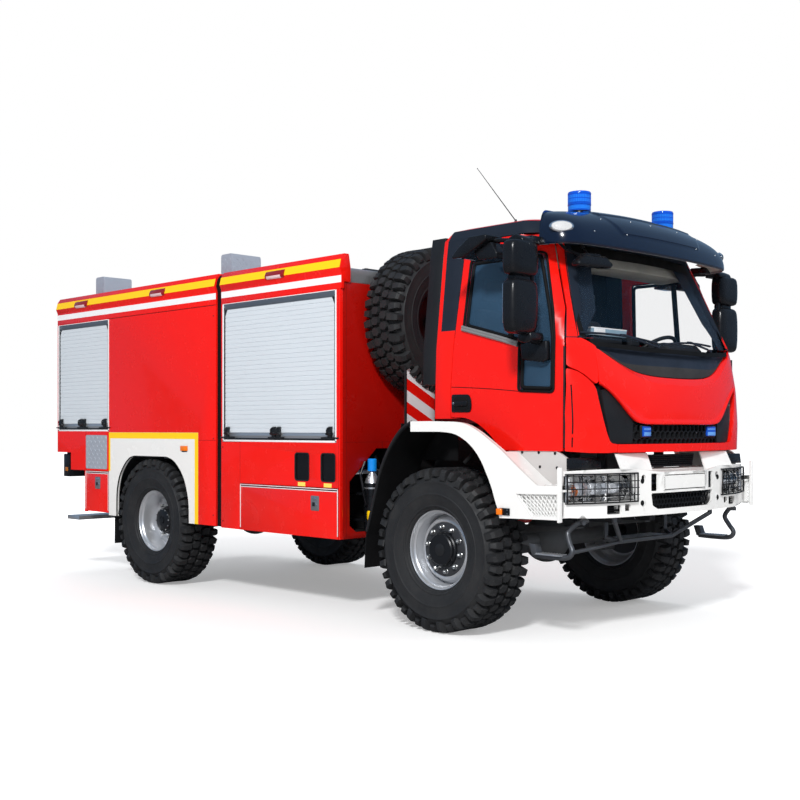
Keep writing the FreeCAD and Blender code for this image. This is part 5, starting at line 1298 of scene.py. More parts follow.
for name, sign in SIDES.items():
    m = Shape()
    for low, high in ((2.082, 2.436), (2.462, 2.69)):
        housing(m, (.842, -1.3), (.076, .139), low, high)
    m.block((.8, -1.375, 2.425), (.875, -1.225, 2.47), .012, 3)
    m.tone(1).block((.796, -1.415, 2.15), (.801, -1.205, 2.405), .002)
    m.block((.799, -1.405, 2.485), (.804, -1.2, 2.66), .002)
    m.tone(0).run([(.862, -1.19, 2.3), (.862, -1.19, 2.66), (.852, -1.185, 2.69), (.8, -1.12, 2.705),
        (.72, -1.015, 2.7)], .015, 14)
    m.plate([(.76, 2.68), (.905, 2.68), (.89, 2.712), (.83, 2.738), (.775, 2.72)], "y", -1.33, -1.15, .012, 3)
    m.plate([(.815, 2.7), (.87, 2.695), (.85, 2.745), (.72, 2.75), (.7, 2.7)], "y", -1.17, -1.0, .01, 3)
    m.run([(.862, -1.19, 2.24), (.862, -1.19, 2.11), (.872, -1.16, 2.07), (.872, -1.095, 2.03)], .016, 14)
    m.plate([(.8, 2.095), (.905, 2.095), (.915, 2.045), (.86, 2.02), (.785, 2.04)], "y", -1.26, -1.12, .014, 3)
    m.plate([(.7, 2.03), (.93, 2.045), (.935, 1.915), (.885, 1.9), (.715, 1.925)], "y", -1.125, -1.076, .014, 3)
    m.run([(.862, -1.195, 2.69), (.78, -1.225, 2.718), (.7, -1.232, 2.72), (.56, -1.24, 2.735)], .015, 14)
    m.plate([(.27, 2.632), (.272, 2.65), (.33, 2.7), (.43, 2.764), (.585, 2.764), (.585, 2.73), (.5, 2.69),
        (.42, 2.65), (.35, 2.628)], "y", -1.338, -1.162, .01, 3)
    m.plate([(.43, 2.66), (.585, 2.72), (.64, 2.64), (.64, 2.602), (.48, 2.606)], "y", -1.29, -1.15, .01, 3)
    m.plate([(.415, 2.735), (.56, 2.735), (.575, 2.764), (.44, 2.7645)], "y", -1.29, -1.2, .008, 3)
    m.tone(1).plate([(.29, 2.63), (.35, 2.624), (.352, 2.628), (.292, 2.636)], "y", -1.32, -1.18)
    if sign > 0:
        m.flip()
    m.put(f"mirror_housings_{name}", [smooth_black, chrome], f"door_{name}", f"mirrors_{name}", "black_plastic", 40)

kerb = Shape()
kerb.plate([(-.925, 2.545), (-.56, 2.56), (-.535, 2.59), (-.62, 2.64), (-.86, 2.625), (-.935, 2.575)], "x", .985,
    1.06, .018, 3)
kerb.run([(1.0, -.745, 2.62), (.965, -.745, 2.67), (.93, -.745, 2.725)], .013, 12)
kerb.run([(1.01, -.8, 2.62), (.95, -.93, 2.66), (.9, -.96, 2.72)], .01, 12)
kerb.plate([(-.86, 2.622), (-.66, 2.636), (-.68, 2.65), (-.84, 2.64)], "x", .975, 1.045, .006, 2)
kerb.put("front_mirror", smooth_black, "cab", smooth=40)


# ---- cab skins ----
# The rounded corner: its width, its depth, and its length along the outline.
CORNER, CORNER_DEEP, CORNER_RUN = .3, .195, .36
# height, nose at the middle, nose at the shoulder, half width
cab_rows = [(1.28, 1.27, 1.195, 1.099), (1.5, 1.275, 1.205, 1.092), (1.75, 1.272, 1.195, 1.086),
    (2.04, 1.235, 1.15, 1.076), (2.72, .925, .85, 1.0), (2.83, .87, .8, .984), (2.905, .8, .74, .93),
    (2.93, .72, .68, .84)]


def cab_row(z):
    """Nose, shoulder and half width at a height, with the levels' corners rounded off."""
    def plain(height):
        for low, high in pairs(cab_rows):
            if height <= high[0] or high is cab_rows[-1]:
                return between(low[1:], high[1:], (height - low[0]) / (high[0] - low[0]))
    soft = .045 if z < 2.6 else .012
    found = [plain(z + soft * k / 3) for k in range(-3, 4)]
    return tuple(sum(values) / len(found) for values in zip(*found))


def corner_x(t, middle, shoulder, half):
    """How far forward the rounded corner reaches: t is 0 where the side begins, 1 at the shoulder."""
    slope = math.tan(2 * math.atan((middle - shoulder) / (half - CORNER)))
    return (1 - t) ** 2 * (shoulder - CORNER_DEEP) + 2 * t * (1 - t) * (shoulder - CORNER * slope) + t * t * shoulder


def nose_x(y, z):
    """How far forward the cab's front reaches at a place across it."""
    middle, shoulder, half = cab_row(z)
    y, reach, sag = min(abs(y), half), half - CORNER, middle - shoulder
    if y <= reach:
        radius = (reach * reach + sag * sag) / (2 * sag)
        return middle - radius + math.sqrt(radius * radius - y * y)
    return corner_x(math.sqrt((half - y) / CORNER), middle, shoulder, half)


def side_t(x, z):
    """Where along the rounded corner a place x lies."""
    low, high = 0.0, 1.0
    for _ in range(22):
        t = (low + high) / 2
        low, high = (t, high) if corner_x(t, *cab_row(z)) < x else (low, t)
    return low


def round_cab(s, z):
    """The cab's outline on the right: s runs from its middle, over the corner and back along the side."""
    _, shoulder, half = cab_row(z)
    reach = half - CORNER
    if s <= reach:
        return Vector((nose_x(s, z), -s, z))
    if s < reach + CORNER_RUN:
        y = half - CORNER * (1 - (s - reach) / CORNER_RUN) ** 2
        return Vector((nose_x(y, z), -y, z))
    return Vector((shoulder - CORNER_DEEP - (s - reach - CORNER_RUN), -half, z))


def from_x(x, z):
    _, shoulder, half = cab_row(z)
    if x <= shoulder - CORNER_DEEP:
        return half - CORNER + CORNER_RUN + shoulder - CORNER_DEEP - x
    return half - CORNER + CORNER_RUN * (1 - side_t(x, z))


def from_y(y, z):
    half = cab_row(z)[2]
    return y if y <= half - CORNER else half - CORNER + CORNER_RUN * (1 - math.sqrt(max(0, half - y) / CORNER))


def sunk(s, z, depth):
    """A point under the cab's skin."""
    here = round_cab(s, z)
    ahead = round_cab(s + .004, z) - round_cab(max(s - .004, 0), z)
    rise = round_cab(s, z + .004) - round_cab(s, z - .004)
    inward = ahead.cross(rise)
    inward.normalize()
    return here - inward * depth if inward.x > 0 or inward.y < 0 else here + inward * depth


def eased(points, radius, steps=4):
    """The same closed outline with its corners rounded."""
    out, n = [], len(points)
    for k in range(n):
        p, a, b = Vector(points[k]), Vector(points[k - 1]), Vector(points[(k + 1) % n])
        r = min(radius, (a - p).length * .45, (b - p).length * .45)
        start, end = p + (a - p).normalized() * r, p + (b - p).normalized() * r
        for j in range(steps + 1):
            t = j / steps
            out.append(tuple(start * (1 - t) ** 2 + p * 2 * t * (1 - t) + end * t * t))
    return out


def sheet(shape, outline, holes, across, up, place, wall):
    """A sheet with holes: a flat outline cut along a grid, laid on a surface and given its wall."""
    flat = bmesh.new()
    for loop in (outline, *holes):
        verts = [flat.verts.new((a, b, 0)) for a, b in loop]
        for pair in zip(verts, verts[1:] + verts[:1]):
            flat.edges.new(pair)
    bmesh.ops.triangle_fill(flat, use_beauty=True, edges=flat.edges)
    for values, k in ((across, 0), (up, 1)):
        for value in values:
            spot, way = Vector((0, 0, 0)), Vector((0, 0, 0))
            spot[k], way[k] = value, 1
            bmesh.ops.bisect_plane(flat, geom=[*flat.verts, *flat.edges, *flat.faces], dist=2e-4, plane_co=spot,
                plane_no=way)
    bmesh.ops.remove_doubles(flat, verts=flat.verts, dist=.0012)
    flat.verts.index_update()
    tops, lows = ([shape.vert(place(v.co.x, v.co.y, depth)) for v in flat.verts] for depth in (0, wall))
    for face in flat.faces:
        ring = [v.index for v in face.verts]
        shape.face([tops[i] for i in ring])
        shape.face([lows[i] for i in reversed(ring)])
    for edge in flat.edges:
        if len(edge.link_faces) == 1:
            a, b = (v.index for v in edge.verts)
            shape.face([tops[a], tops[b], lows[b], lows[a]])
    flat.free()


def steps_between(low, high, gap):
    count = max(1, round((high - low) / gap))
    return [low + (high - low) * k / count for k in range(1, count)]


def door_place(x, z, depth):
    return sunk(from_x(x, z), z, depth)


def on_front(y, z, depth):
    return Vector((nose_x(y, z) - depth, y, z))


def behind(place, gap):
    """The same surface, a gap further in."""
    return lambda a, z, depth: place(a, z, depth + gap)


arch_line = curved([(.085, 1.537), (.176, 1.534), (.301, 1.49), (.424, 1.404), (.505, 1.318)], 4)
door_line = [(.097, 2.8), (.08, 2.52), (.061, 2.22), (.046, 1.98), (.035, 1.76), (.037, 1.6), (.039, 1.54),
    *arch_line, (.516, 1.309), (1.04, 1.309), (1.038, 1.53), (1.034, 1.8), (1.026, 2.01), (1.018, 2.06),
    (.972, 2.262), (.815, 2.679), (.772, 2.8)]
window_line = eased([(.162, 2.662), (.136, 2.178), (.628, 2.048), (.662, 2.03), (.662, 1.716), (.964, 1.7),
    (.961, 2.062), (.92, 2.25), (.788, 2.662)], .03)
up_lines = [*steps_between(1.3, 2.1, .045), *steps_between(2.12, 2.7, .08), 2.72, 2.76]
for name, sign in SIDES.items():
    door = Shape()
    sheet(door, eased(door_line, .012, 3), [window_line], steps_between(.72, 1.05, .028) + [.2, .4, .6], up_lines,
        door_place, .038)
    door.tone(1).rod((1.042, -1.077, 1.33), (1.042, -1.077, 2.0), .007, 10)
    if sign > 0:
        door.flip()
    door.put(f"door_skin_{name}", [painted_red, frame_grey], f"door_{name}", f"door_{name}", "painted_red", 30,
        bevel=.0035)

    fit = Shape()
    rim = [door_place(x, z, -.003) for x, z in window_line]
    for k, spot in enumerate(rim):
        fit.rod(rim[k - 1], spot, .009, 8)
        fit.ball(spot, .009, 8)
    rim = [door_place(x, z, .01) for x, z in eased([(.185, 2.64), (.16, 2.196), (.64, 2.068), (.684, 2.04),
        (.684, 1.738), (.942, 1.724), (.939, 2.062), (.898, 2.25), (.772, 2.64)], .03)]
    for k, spot in enumerate(rim):
        fit.rod(rim[k - 1], spot, .013, 8)
    fit.rod(door_place(.566, 2.64, .012), door_place(.574, 2.085, .012), .022, 10)
    fit.finish = 1
    strip = [door_place(x, z, -.01) for x, z in ((.128, 2.176), (.3, 2.131), (.48, 2.084), (.65, 2.036))]
    for rise, radius in ((.01, .01), (-.008, .012)):
        fit.run([p + Vector((0, 0, rise)) for p in strip], radius, 12)
    fit.finish = 0
    # A thin black line half sunk along the door's crease: painted shadow of the crease.
    crease_shadow_line = curved([(.04, 1.757), (.2, 1.749), (.45, 1.732), (.672, 1.712)], 5)
    fit.run([door_place(x, z, .0012) for x, z in crease_shadow_line], .0032, 6)
    fit.finish = 2
    grip = door_place(.145, 1.6375, 0)
    fit.plate(eased([(.053, 1.576), (.228, 1.574), (.238, 1.61), (.232, 1.668), (.21, 1.701), (.058, 1.703),
        (.05, 1.69), (.05, 1.59)], .022), "y", grip.y - .01, grip.y + .01, .003)
    fit.tone(0).plate(eased([(.078, 1.592), (.205, 1.59), (.212, 1.638), (.204, 1.682), (.078, 1.684)], .02), "y",
        grip.y - .0115, grip.y, .001)
    fit.tone(2).plate(eased([(.083, 1.62), (.205, 1.618), (.208, 1.654), (.083, 1.656)], .012), "y", grip.y - .022,
        grip.y - .005, .005, 3)
    fit.tone(3).disc((.068, grip.y - .01, 1.64), "y", .008, -.003, .001, 16)
    fit.block((.0655, grip.y - .0135, 1.639), (.0705, grip.y - .0128, 1.641))
    if sign > 0:
        fit.flip()
    fit.put(f"door_trim_{name}", [rubber_black, grey_plastic, smooth_black, chrome], f"door_{name}", smooth=40)

vane_line = [(from_x(1.054, 1.31), 1.309), (from_x(1.052, 1.55), 1.55), (from_x(1.046, 1.84), 1.838)]
vane_line += [(from_y(y, z), z) for y, z in curved([(1.062, 1.856), (1.009, 1.834), (.96, 1.796), (.912, 1.748)], 4)]
vane_line += [(from_y(y, z), z) for y, z in ((.897, 1.722), (.88, 1.642), (.849, 1.518), (.814, 1.424), (.79, 1.378),
    (.768, 1.36), (.717, 1.354), (.717, 1.3), (.8, 1.296), (.95, 1.298), (1.03, 1.304))]
slot_s = from_x(1.092, 1.58)


def slot_line(half, low, high):
    return [(slot_s - half, low), (slot_s + half, low), (slot_s + half, high), (slot_s - half, high)]


upper_line = [(from_x(x, z), z) for x, z in ((1.045, 1.882), (1.04, 1.95), (1.034, 2.02), (1.026, 2.0625))]
upper_line += [(from_y(y, z), z) for y, z in ((.965, 2.0625), (.945, 2.06), (.9, 2.036), (.862, 2.012), (.853, 2.0),
    (.873, 1.785), (.88, 1.764), (.893, 1.757), (.915, 1.77), (.939, 1.79), (.972, 1.819), (1.009, 1.845),
    (1.05, 1.868))]
apron = Shape()
s_lines, z_lines = steps_between(.7, 1.22, .022), steps_between(1.3, 2.06, .035)
sheet(apron, eased(vane_line, .008, 2), [slot_line(.006, 1.422, 1.748), slot_line(.006, 1.335, 1.4)], s_lines,
    z_lines, sunk, .045)
sheet(apron, eased(upper_line, .008, 2), [], s_lines, z_lines, sunk, .04)
apron.finish = 1
sheet(apron, slot_line(.03, 1.32, 1.76), [], [], z_lines, behind(sunk, .014), .01)
apron.twin()
apron.finish = 0
sheet(apron, rounded((-.712, 1.297), (.712, 1.353), .006, 2), [], steps_between(-.712, .712, .06), [1.325], on_front,
    .048)
apron.put("front_corner_skins", [painted_red, smooth_black], "cab", "cab_apron", "painted_red", 30, bevel=.003)


def mirror_line(half):
    """A line across the front from its half, as a function of y."""
    points = curved(half, 6)

    def height(y):
        y = abs(y)
        for (a, za), (b, zb) in pairs(points):
            if y <= b:
                return za + (zb - za) * (y - a) / (b - a)
        return points[-1][1]
    return height


lid_top = mirror_line([(0, 1.812), (.2, 1.815), (.35, 1.824), (.47, 1.842), (.57, 1.873), (.67, 1.918), (.769, 1.968),
    (.845, 2.003)])
lid_crease = mirror_line([(0, 1.762), (.2, 1.766), (.35, 1.778), (.47, 1.8), (.57, 1.838), (.67, 1.89), (.769, 1.948),
    (.845, 1.992)])
lid_fold = mirror_line([(0, 1.523), (.3, 1.523), (.44, 1.53), (.52, 1.552), (.6, 1.602), (.7, 1.676), (.79, 1.738),
    (.862, 1.778)])
lid_low = mirror_line([(0, 1.487), (.36, 1.487), (.47, 1.492), (.54, 1.508), (.61, 1.558), (.7, 1.64), (.79, 1.712),
    (.866, 1.756)])
# Where the cowl's lighter copy (painted light) gives way to its darker copy (painted shade).
tone_line = mirror_line([(0, 1.893), (.3, 1.893), (.47, 1.897), (.58, 1.906), (.66, 1.93), (.74, 1.972),
    (.855, 2.014)])
tray_line = mirror_line([(0, 1.996), (.4, 1.998), (.67, 2.01), (.85, 2.022), (.93, 2.052)])


def lofted(shape, columns, rows, wall, finishes):
    """A closed sheet across the front: rows of (height line, how far it stands out)."""
    tops, lows = [], []
    for y in columns:
        top, low = [], []
        for height, out in rows:
            z = height(y)
            x = nose_x(y, z) + out
            top.append(shape.vert(x, y, z))
            low.append(shape.vert(x - wall, y * .998, z))
        tops.append(top)
        lows.append(low)
    for i in range(len(columns) - 1):
        for k in range(len(rows) - 1):
            shape.face((tops[i][k], tops[i + 1][k], tops[i + 1][k + 1], tops[i][k + 1]), finishes[k])
            shape.face((lows[i][k], lows[i][k + 1], lows[i + 1][k + 1], lows[i + 1][k]), finishes[k])
        for k in (0, -1):
            shape.face((tops[i][k], lows[i][k], lows[i + 1][k], tops[i + 1][k]), finishes[k])
    for i in (0, -1):
        for k in range(len(rows) - 1):
            shape.face((tops[i][k], tops[i][k + 1], lows[i][k + 1], lows[i][k]), finishes[k])


def part_way(low, high, t):
    return lambda y: low(y) + (high(y) - low(y)) * t


lid_half = .866
columns = [lid_half * math.copysign(1 - (1 - abs(k / 40)) ** 1.1, k) for k in range(-40, 41)]
lid = Shape()
lid_rows = [(lid_low, .004), (part_way(lid_low, lid_fold, .15), .011), (part_way(lid_low, lid_fold, .45), .011),
    (part_way(lid_low, lid_fold, .9), .0015)]
lid_rows += [(lid_fold, 0.0)] + [(part_way(lid_fold, lid_crease, k / 9), .004 * math.sin(math.pi * k / 9))
    for k in range(1, 9)]
lid_rows += [(lid_crease, 0.0), (part_way(lid_crease, lid_top, .12), -.003),
    (part_way(lid_crease, lid_top, .55), -.014), (lid_top, -.028)]
lofted(lid, columns, lid_rows, .018, [0] * len(lid_rows))
lid.put("lid_skin", painted_red, "hood", "hood", "painted_red", 22, bevel=.003)

cowl = Shape()
cowl_half = .925
columns = [cowl_half * k / 44 for k in range(-44, 45)]


def above_lid(y):
    return lid_top(y) + .006 if abs(y) < .855 else 2.01 + (abs(y) - .855) * .62


def tone_above(y):
    return max(tone_line(y), above_lid(y) + .004)


def tray_above(y):
    return max(tray_line(y), tone_above(y) + .004)


# Lower rows in the lighter copy, upper rows in the darker one: painted light and painted shade on one moulding.
lofted(cowl, columns, [(above_lid, -.034), (part_way(above_lid, tone_above, .5), -.034), (tone_above, -.034),
    (part_way(tone_above, tray_above, .08), -.038), (part_way(tone_above, tray_above, .5), -.042),
    (tray_above, -.052), (lambda y: tray_above(y) + .003, -.085)], .012, [1, 1, 0, 0, 0, 0])
for k in range(-26, 27):
    y = .031 * k
    z = tray_above(y) + .01
    cowl.block((nose_x(y, z) - .1, y - .01, z - .012), (nose_x(y, z) - .048, y + .01, z - .004), .001)
# Pale strips along the tops of the slats: painted glints, standing in for highlights on the louvres.
cowl.finish = 2
for k in range(-16, 27):
    y = .031 * k + .008
    z = tray_above(y)
    if k % 5:
        cowl.block((nose_x(y, z) - .062, y - .012, z + .001), (nose_x(y, z) - .052, y + .012, z + .0035), .0005)
cowl.finish = 0
for y in (-.22, .53):
    z = tray_above(y)
    x = nose_x(y, z)
    cowl.rod((x - .08, y, z - .01), (x - .03, y, z + .032), .016, 16)
    cowl.ball((x - .03, y, z + .032), .017, 16)
for a, b, foot in (((-.945, 2.098), (-.245, 2.052), -.22), ((-.185, 2.05), (.515, 2.072), .53)):
    ends = []
    for k in range(15):
        y, z = between(a, b, k / 14)
        z += .016 * math.sin(math.pi * k / 14)
        ends.append((nose_x(y, z) + .004, y, z))
    cowl.run(ends, .0065, 8)
    cowl.run([(x - .006, y, z - .004) for x, y, z in ends], .004, 6)
    z = tray_above(foot) + .032
    x, y, high = ends[7]
    elbow = (nose_x(foot - .1, z) + .006, foot - .1, z + .008)
    cowl.run([(nose_x(foot, z) - .024, foot, z), elbow, (x + .01, y, high + .004)], .008, 10)
    cowl.block((x - .002, y - .03, high - .008), (x + .014, y + .03, high + .01), .003)
# Two copies of the one black cowl moulding: the upper face darker and bluer as painted shade, the lower face lighter
# as painted light, for the different light on its two faces; the slats and wipers take the darker copy.
cowl_painted_shade = plastic("cowl upper, painted shade", (.012, .016, .026), .38, depth=.15)
cowl_painted_light = plastic("cowl lower, painted light", (.028, .026, .025), .5)
# Painted highlight for the slat glints.
slat_painted_glint = plastic("cowl slat glints, painted highlight", (.42, .44, .46), .5)
cowl.put("cowl_and_wipers", [cowl_painted_shade, cowl_painted_light, slat_painted_glint], "cab")


def on_nose(verts, depth):
    """Bends flat work onto the cab's front, `depth` behind its skin."""
    for v in verts:
        v.co.x += nose_x(v.co.y, v.co.z) - depth


grille = Shape()
backing_line = eased([(-.9, 1.745), (-.868, 1.6), (-.822, 1.43), (-.775, 1.345), (.775, 1.345), (.822, 1.43),
    (.868, 1.6), (.9, 1.745)], .01, 2)
sheet(grille, backing_line, [], steps_between(-.9, .9, .05), steps_between(1.34, 1.75, .06), behind(on_front, .046),
    .004)
inner = [(.836, 1.712), (.812, 1.565), (.764, 1.372), (.735, 1.357), (.55, 1.357), (.548, 1.5), (.6, 1.56),
    (.7, 1.65), (.8, 1.722)]
for sign in (-1, 1):
    sheet(grille, eased([(sign * y, z) for y, z in inner], .01, 3), [], [sign * v for v in (.6, .65, .7, .75, .8)],
        [1.42, 1.48, 1.54, 1.6, 1.66], behind(on_front, .02), .016)
mark = grille.mark()
honeycomb(grille, -.535, .535, 1.362, 1.484, -.01, .012, .058, .0035, lambda y, z: True)
on_nose(grille.since(mark), .036)
for y in (-.42, .42):
    x = nose_x(y, 1.44) - .012
    mark = grille.mark()
    grille.tone(0).block((x - .022, y - .064, 1.394), (x - .002, y + .064, 1.484), .008, 3)
    grille.tone(1).block((x - .012, y - .053, 1.404), (x + .01, y + .053, 1.474), .006, 3)
    grille.tone(2).block((x + .008, y - .046, 1.409), (x + .0115, y + .046, 1.434), .001)
    for k in range(7):
        grille.ball((x + .008, y - .04 + .0133 * k, 1.455), .006, 10, (.8, 1, 1.2))
    grille.move(grille.since(mark), turned_to((x, y, 1.44), "Z", -5 if y > 0 else 5))
grille.finish = 3
for y, z in ((-.2, 1.378), (.02, 1.378), (.22, 1.38), (-.05, 1.432), (.12, 1.428), (.26, 1.43)):
    grille.ball((nose_x(y, z) - .044, y, z), .006, 8)
strobe_blue = lens("blue strobe", (.006, .09, .62), .01, "y", clear=.2)
strobe_pale = lens("pale strobe facets", (.16, .42, .95), .006, "y", clear=.2)
grille.put("recess_grille", [black_plastic, strobe_blue, strobe_pale, aluminium], "cab", "cab_grille",
    "black_plastic", 35)


# ---- windscreen surround and pillars ----
pillars = Shape()
pillar_line = [(from_x(x, z), z) for x, z in ((1.027, 2.068), (.978, 2.262), (.9, 2.47), (.821, 2.679), (.8, 2.735))]
pillar_line += [(from_y(y, z), z) for y, z in ((.79, 2.735), (.797, 2.694), (.842, 2.558), (.894, 2.37),
    (.938, 2.186), (.956, 2.082), (.966, 2.068))]
sheet(pillars, pillar_line, [], steps_between(.7, 1.1, .025), steps_between(2.07, 2.73, .06), behind(sunk, -.003),
    .014)
pillars.twin().put("pillar_skins", painted_red, "cab", slot="painted_red", smooth=30, bevel=.003)


over_glass = behind(on_front, .009)
band = Shape()
half_screen = [(.968, 2.06), (.94, 2.186), (.897, 2.37), (.846, 2.558), (.8, 2.696), (.78, 2.728)]
inner_screen = [(.905, 2.06), (.895, 2.186), (.855, 2.37), (.806, 2.558), (.764, 2.66), (.74, 2.69)]


def strip(shape, line_a, line_b, place, across=3, wall=.003):
    """A thin strip between two lines of the same number of points, laid on a surface."""
    for depth, flip in ((0.0, 1), (wall, -1)):
        grid = [[shape.vert(place(*between(a, b, k / across), depth)) for k in range(across + 1)] for a,
            b in zip(line_a, line_b)]
        for one, two in pairs(grid):
            for k in range(across):
                shape.face((one[k], one[k + 1], two[k + 1], two[k])[::flip])


for side in (-1, 1):
    strip(band, *(curved([(side * y, z) for y, z in line], 4) for line in (half_screen, inner_screen)), over_glass)
    band.run([over_glass(side * (y + .001), z, -.006) for y, z in half_screen], .0075, 8)
across = steps_between(-.775, .775, .05)
strip(band, [(y, 2.728) for y in across], [(y, 2.655) for y in across], over_glass)
across = steps_between(-.93, .93, .05)
strip(band, [(y, tray_above(y) - .01) for y in across], [(y, tray_above(y) + .022) for y in across], over_glass)
band.put("windscreen_surround", rubber_black, "cab")

# ---- cab inside ----
lining_dark = plastic("dark cab lining", (.01, .012, .016), .75)
lining_pale = plastic("pale header lining", (.25, .24, .21), .75)
paper_white = plastic("paper white", (.75, .77, .8), .8, depth=.05)
paper_blue = plastic("paper blue grey", (.2, .3, .38), .7, depth=.05)
inside = Shape()
inside.block((-.073, -.985, 1.6), (-.068, .985, 2.78), .002)
inside.block((-.068, -.86, 2.868), (.6, .86, 2.876), .003)
inside.plate([(.77, 2.01), (.84, 2.045), (.96, 2.055), (1.03, 2.02), (1.03, 1.985), (.96, 2.0), (.8, 1.985)], "y",
    -.9, .9, .008)
inside.plate([(.7, 2.0), (.76, 2.1), (.9, 2.11), (.96, 2.05), (.9, 2.0)], "y", .33, .8, .02, 3)
inside.plate([(.745, 1.8), (.73, 1.96), (.755, 2.02), (.8, 2.0), (.8, 1.8)], "y", -.28, .28, .02, 3)
inside.block((.9, -.22, 2.05), (.99, -.12, 2.115), .008)
for y in (-.62, -.42, 0.0, .2):
    inside.block((.732, y - .06, 1.86), (.738, y + .06, 1.94), .003)
for sign in (-1, 1):
    inside.plate([(.02, 1.66), (.02, 2.15), (.66, 2.0), (.94, 1.98), (.98, 1.6), (.6, 1.58)], "y", sign * 1.03,
        sign * 1.036, .002)
inside.tone(1).plate([(.6, 2.6), (.84, 2.615), (.8, 2.72), (.62, 2.76)], "y", -.76, .76, .012, 3)
inside.tone(0).disc((.66, -.8, 2.5), "x", .06, .02, .006, 24)
inside.tone(3).block((.87, -.72, 2.1), (1.0, -.3, 2.15), .003)
inside.tone(0).block((.88, -.7, 2.055), (.99, -.34, 2.099), .004)
inside.tone(2).block((.866, -.722, 2.147), (1.001, -.298, 2.156), .002)
inside.block((.998, -.69, 2.104), (1.003, -.56, 2.146), .001)
inside.put("cab_lining_and_papers", [lining_dark, lining_pale, paper_white, paper_blue], "cab")

# ---- seats: padded cloth ----
piping = plastic("seat piping", (.1, .11, .13), .6, 200)


def pad_shape(points, y, half, crown):
    """A cushion from its side outline: a soft closed form whose sides pull in between its corners."""
    shape = Shape()
    outline = eased(points, .028, 4)
    cx = sum(p[0] for p in outline) / len(outline)
    cz = sum(p[1] for p in outline) / len(outline)
    grid, count = [], 22
    for i in range(count + 1):
        t = -1 + 2 * i / count
        t = math.copysign(1 - (1 - abs(t)) ** 1.4, t)
        shrink = 1 - .05 * abs(t) ** 6
        pull = 1 - .016 * (1 - t * t)
        line = []
        for x, z in outline:
            wave = 1 + crown * (1 - t * t)
            line.append(shape.vert(cx + (x - cx) * shrink * wave * .94, y + half * t * pull,
                cz + (z - cz) * shrink * pull * .96))
        grid.append(line)
    for a, b in pairs(grid):
        for k in range(len(outline)):
            shape.face((a[k - 1], b[k - 1], b[k], a[k]))
    shape.face(grid[0])
    shape.face(grid[-1][::-1])
    return shape


def stuffed(made):
    """Blows the cover up with a short cloth simulation, held to a modest bulge."""
    finishes = list(made.data.materials)
    remesh = made.modifiers.new("remesh", "REMESH")
    remesh.mode, remesh.voxel_size, remesh.use_smooth_shade = "VOXEL", .014, True
    graph = bpy.context.evaluated_depsgraph_get()
    rest = bpy.data.meshes.new_from_object(made.evaluated_get(graph))
    made.modifiers.clear()
    made.data = rest
    start = [v.co.copy() for v in rest.vertices]
    cover = made.modifiers.new("cloth", "CLOTH")
    cover.settings.use_pressure, cover.settings.uniform_pressure_force = True, 3.0
    cover.settings.effector_weights.gravity = 0
    cover.settings.quality = 4
    cover.settings.tension_stiffness = cover.settings.compression_stiffness = 30
    cover.point_cache.frame_start, cover.point_cache.frame_end = 1, 10
    for frame_number in range(1, 11):
        scene.frame_set(frame_number)
    graph = bpy.context.evaluated_depsgraph_get()
    puffed = bpy.data.meshes.new_from_object(made.evaluated_get(graph))
    made.modifiers.clear()
    for v, home in zip(puffed.vertices, start):
        way = v.co - home
        if way.length > .014:
            v.co = home + way.normalized() * .014
    made.data = puffed
    puffed.materials.clear()
    for finish in finishes:
        puffed.materials.append(finish)
    scene.frame_set(1)


for place_name, y in (("right", -.56), ("middle", 0.0), ("left", .56)):
    half = .235 if y else .19
    forms = {"cushion": ([(.04, 1.722), (.5, 1.722), (.508, 1.806), (.13, 1.798), (.055, 1.8)], half - .012, .02),
        "back": ([(.045, 1.815), (.1, 1.812), (.012, 2.382), (-.044, 2.382), (0.0, 1.95)], half - .024, .05),
        "headrest": ([(-.034, 2.402), (.032, 2.402), (.02, 2.585), (-.04, 2.585)], .128, .06)}
    for form, (points, wide, crown) in forms.items():
        made = pad_shape(points, y, wide, crown).put(f"seat_{form}_{place_name}", seat_cloth, "cab", "seats",
            "seat_cloth", 60)
        stuffed(made)
        finer = made.modifiers.new("finer", "SUBSURF")
        finer.levels = finer.render_levels = 1
    trim = Shape()
    trim.block((.062, y - half + .042, 1.567), (.428, y + half - .042, 1.712), .012, 3)
    for dy in (-.062, .062):
        trim.rod((-.006, y + dy, 2.376), (-.004, y + dy, 2.41), .006, 10)
    trim.finish = 1
    w = half - .05
    for x, z in ((.3, 1.8125), (.18, 1.8085)):
        trim.run([(x, y - w, z), (x, y - w * .4, z + .004), (x, y + w * .4, z + .004), (x, y + w, z)], .0035, 8)
    trim.put(f"seat_base_{place_name}", [black_plastic, piping], "cab")


# ---- floor and lamps ----
def pale_floor():
    finish = Finish("pale floor", (.9, .9, .9), .6)
    camera_ray, glossy_ray, through_ray = (finish.node("LightPath", output=f"Is {kind} Ray")
        for kind in ("Camera", "Glossy", "Transmission"))
    pale = finish.mix(finish.step(finish.noise(.6, 2), .3, .7) * .03, (.9, .9, .9), (.86, .86, .87))
    finish.set("Base Color", finish.mix(glossy_ray, pale, (.16, .16, .17)))
    glow = camera_ray + through_ray
    x, y = finish.axis("x"), finish.axis("y")
    away = (x * x + y * y) ** .5
    far = finish.step(away, 5.0, 11.0, .3, 1.0)
    finish.set("Emission Color", finish.mix(glow, (0, 0, 0), finish.mix(far, (0, 0, 0), (1, 1, 1))))
    finish.set("Emission Strength", 1.0)
    return finish.material


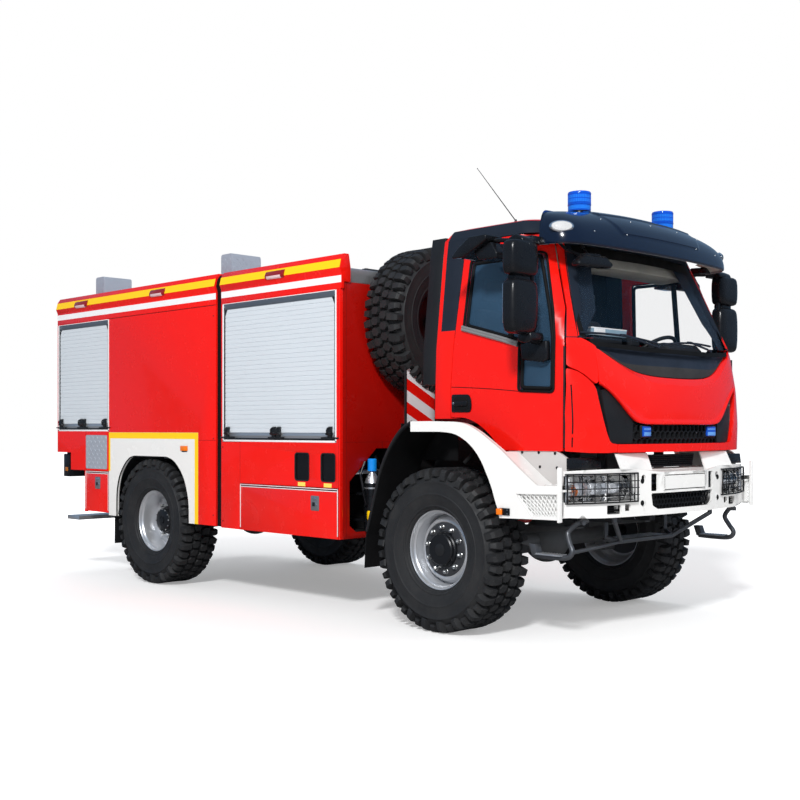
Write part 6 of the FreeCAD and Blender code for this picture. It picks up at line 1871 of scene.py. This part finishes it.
def sky():
    """White to the camera, softer for what it lights, and dimmer and bluer in reflections."""
    world = bpy.data.worlds.new("studio")
    scene.world = world
    world.use_nodes = True
    tree = world.node_tree
    rays, back = tree.nodes.new("ShaderNodeLightPath"), tree.nodes["Background"]
    colour = level = None
    for ray, tint, strength in (("Is Glossy Ray", (.42, .66, 1.0, 1), .34),
            ("Is Transmission Ray", (1, 1, 1, 1), 1.0), ("Is Camera Ray", (1, 1, 1, 1), 1.0)):
        shade, amount = tree.nodes.new("ShaderNodeMix"), tree.nodes.new("ShaderNodeMix")
        shade.data_type = "RGBA"
        tree.links.new(rays.outputs[ray], shade.inputs[0])
        tree.links.new(rays.outputs[ray], amount.inputs[0])
        shade.inputs[6].default_value, amount.inputs[2].default_value = (1, 1, 1, 1), .42
        if colour:
            tree.links.new(colour, shade.inputs[6])
            tree.links.new(level, amount.inputs[2])
        shade.inputs[7].default_value, amount.inputs[3].default_value = tint, strength
        colour, level = shade.outputs[2], amount.outputs[0]
    tree.links.new(colour, back.inputs["Color"])
    tree.links.new(level, back.inputs["Strength"])


def lamp(name, place, aim, size, power):
    made = bpy.data.objects.new(name, bpy.data.lights.new(name, "AREA"))
    scene.collection.objects.link(made)
    made.location = place
    made.rotation_euler = (Vector(aim) - Vector(place)).to_track_quat("-Z", "Y").to_euler()
    made.data.shape, made.data.size, made.data.energy = "DISK", size, power
    made.visible_glossy = name == "key"


floor = Shape()
bmesh.ops.create_grid(floor.bm, x_segments=1, y_segments=1, size=60)
floor_piece = bpy.data.objects.new("floor", bpy.data.meshes.new("floor"))
floor.bm.to_mesh(floor_piece.data)
scene.collection.objects.link(floor_piece)
floor_piece.data.materials.append(pale_floor())
sky()
lamp("key", at(10.9, -16.5, 14.1), at(-1.5, 0, 1.2), 2.8, 4660)
lamp("fill", at(9.0, 7.0, 6.0), at(0, 0, 1.4), 7.0, 380)
lamp("rear", at(-12.0, 4.0, 8.0), at(-3.0, 0, 1.6), 8.0, 480)

scene.view_settings.view_transform = "Standard"
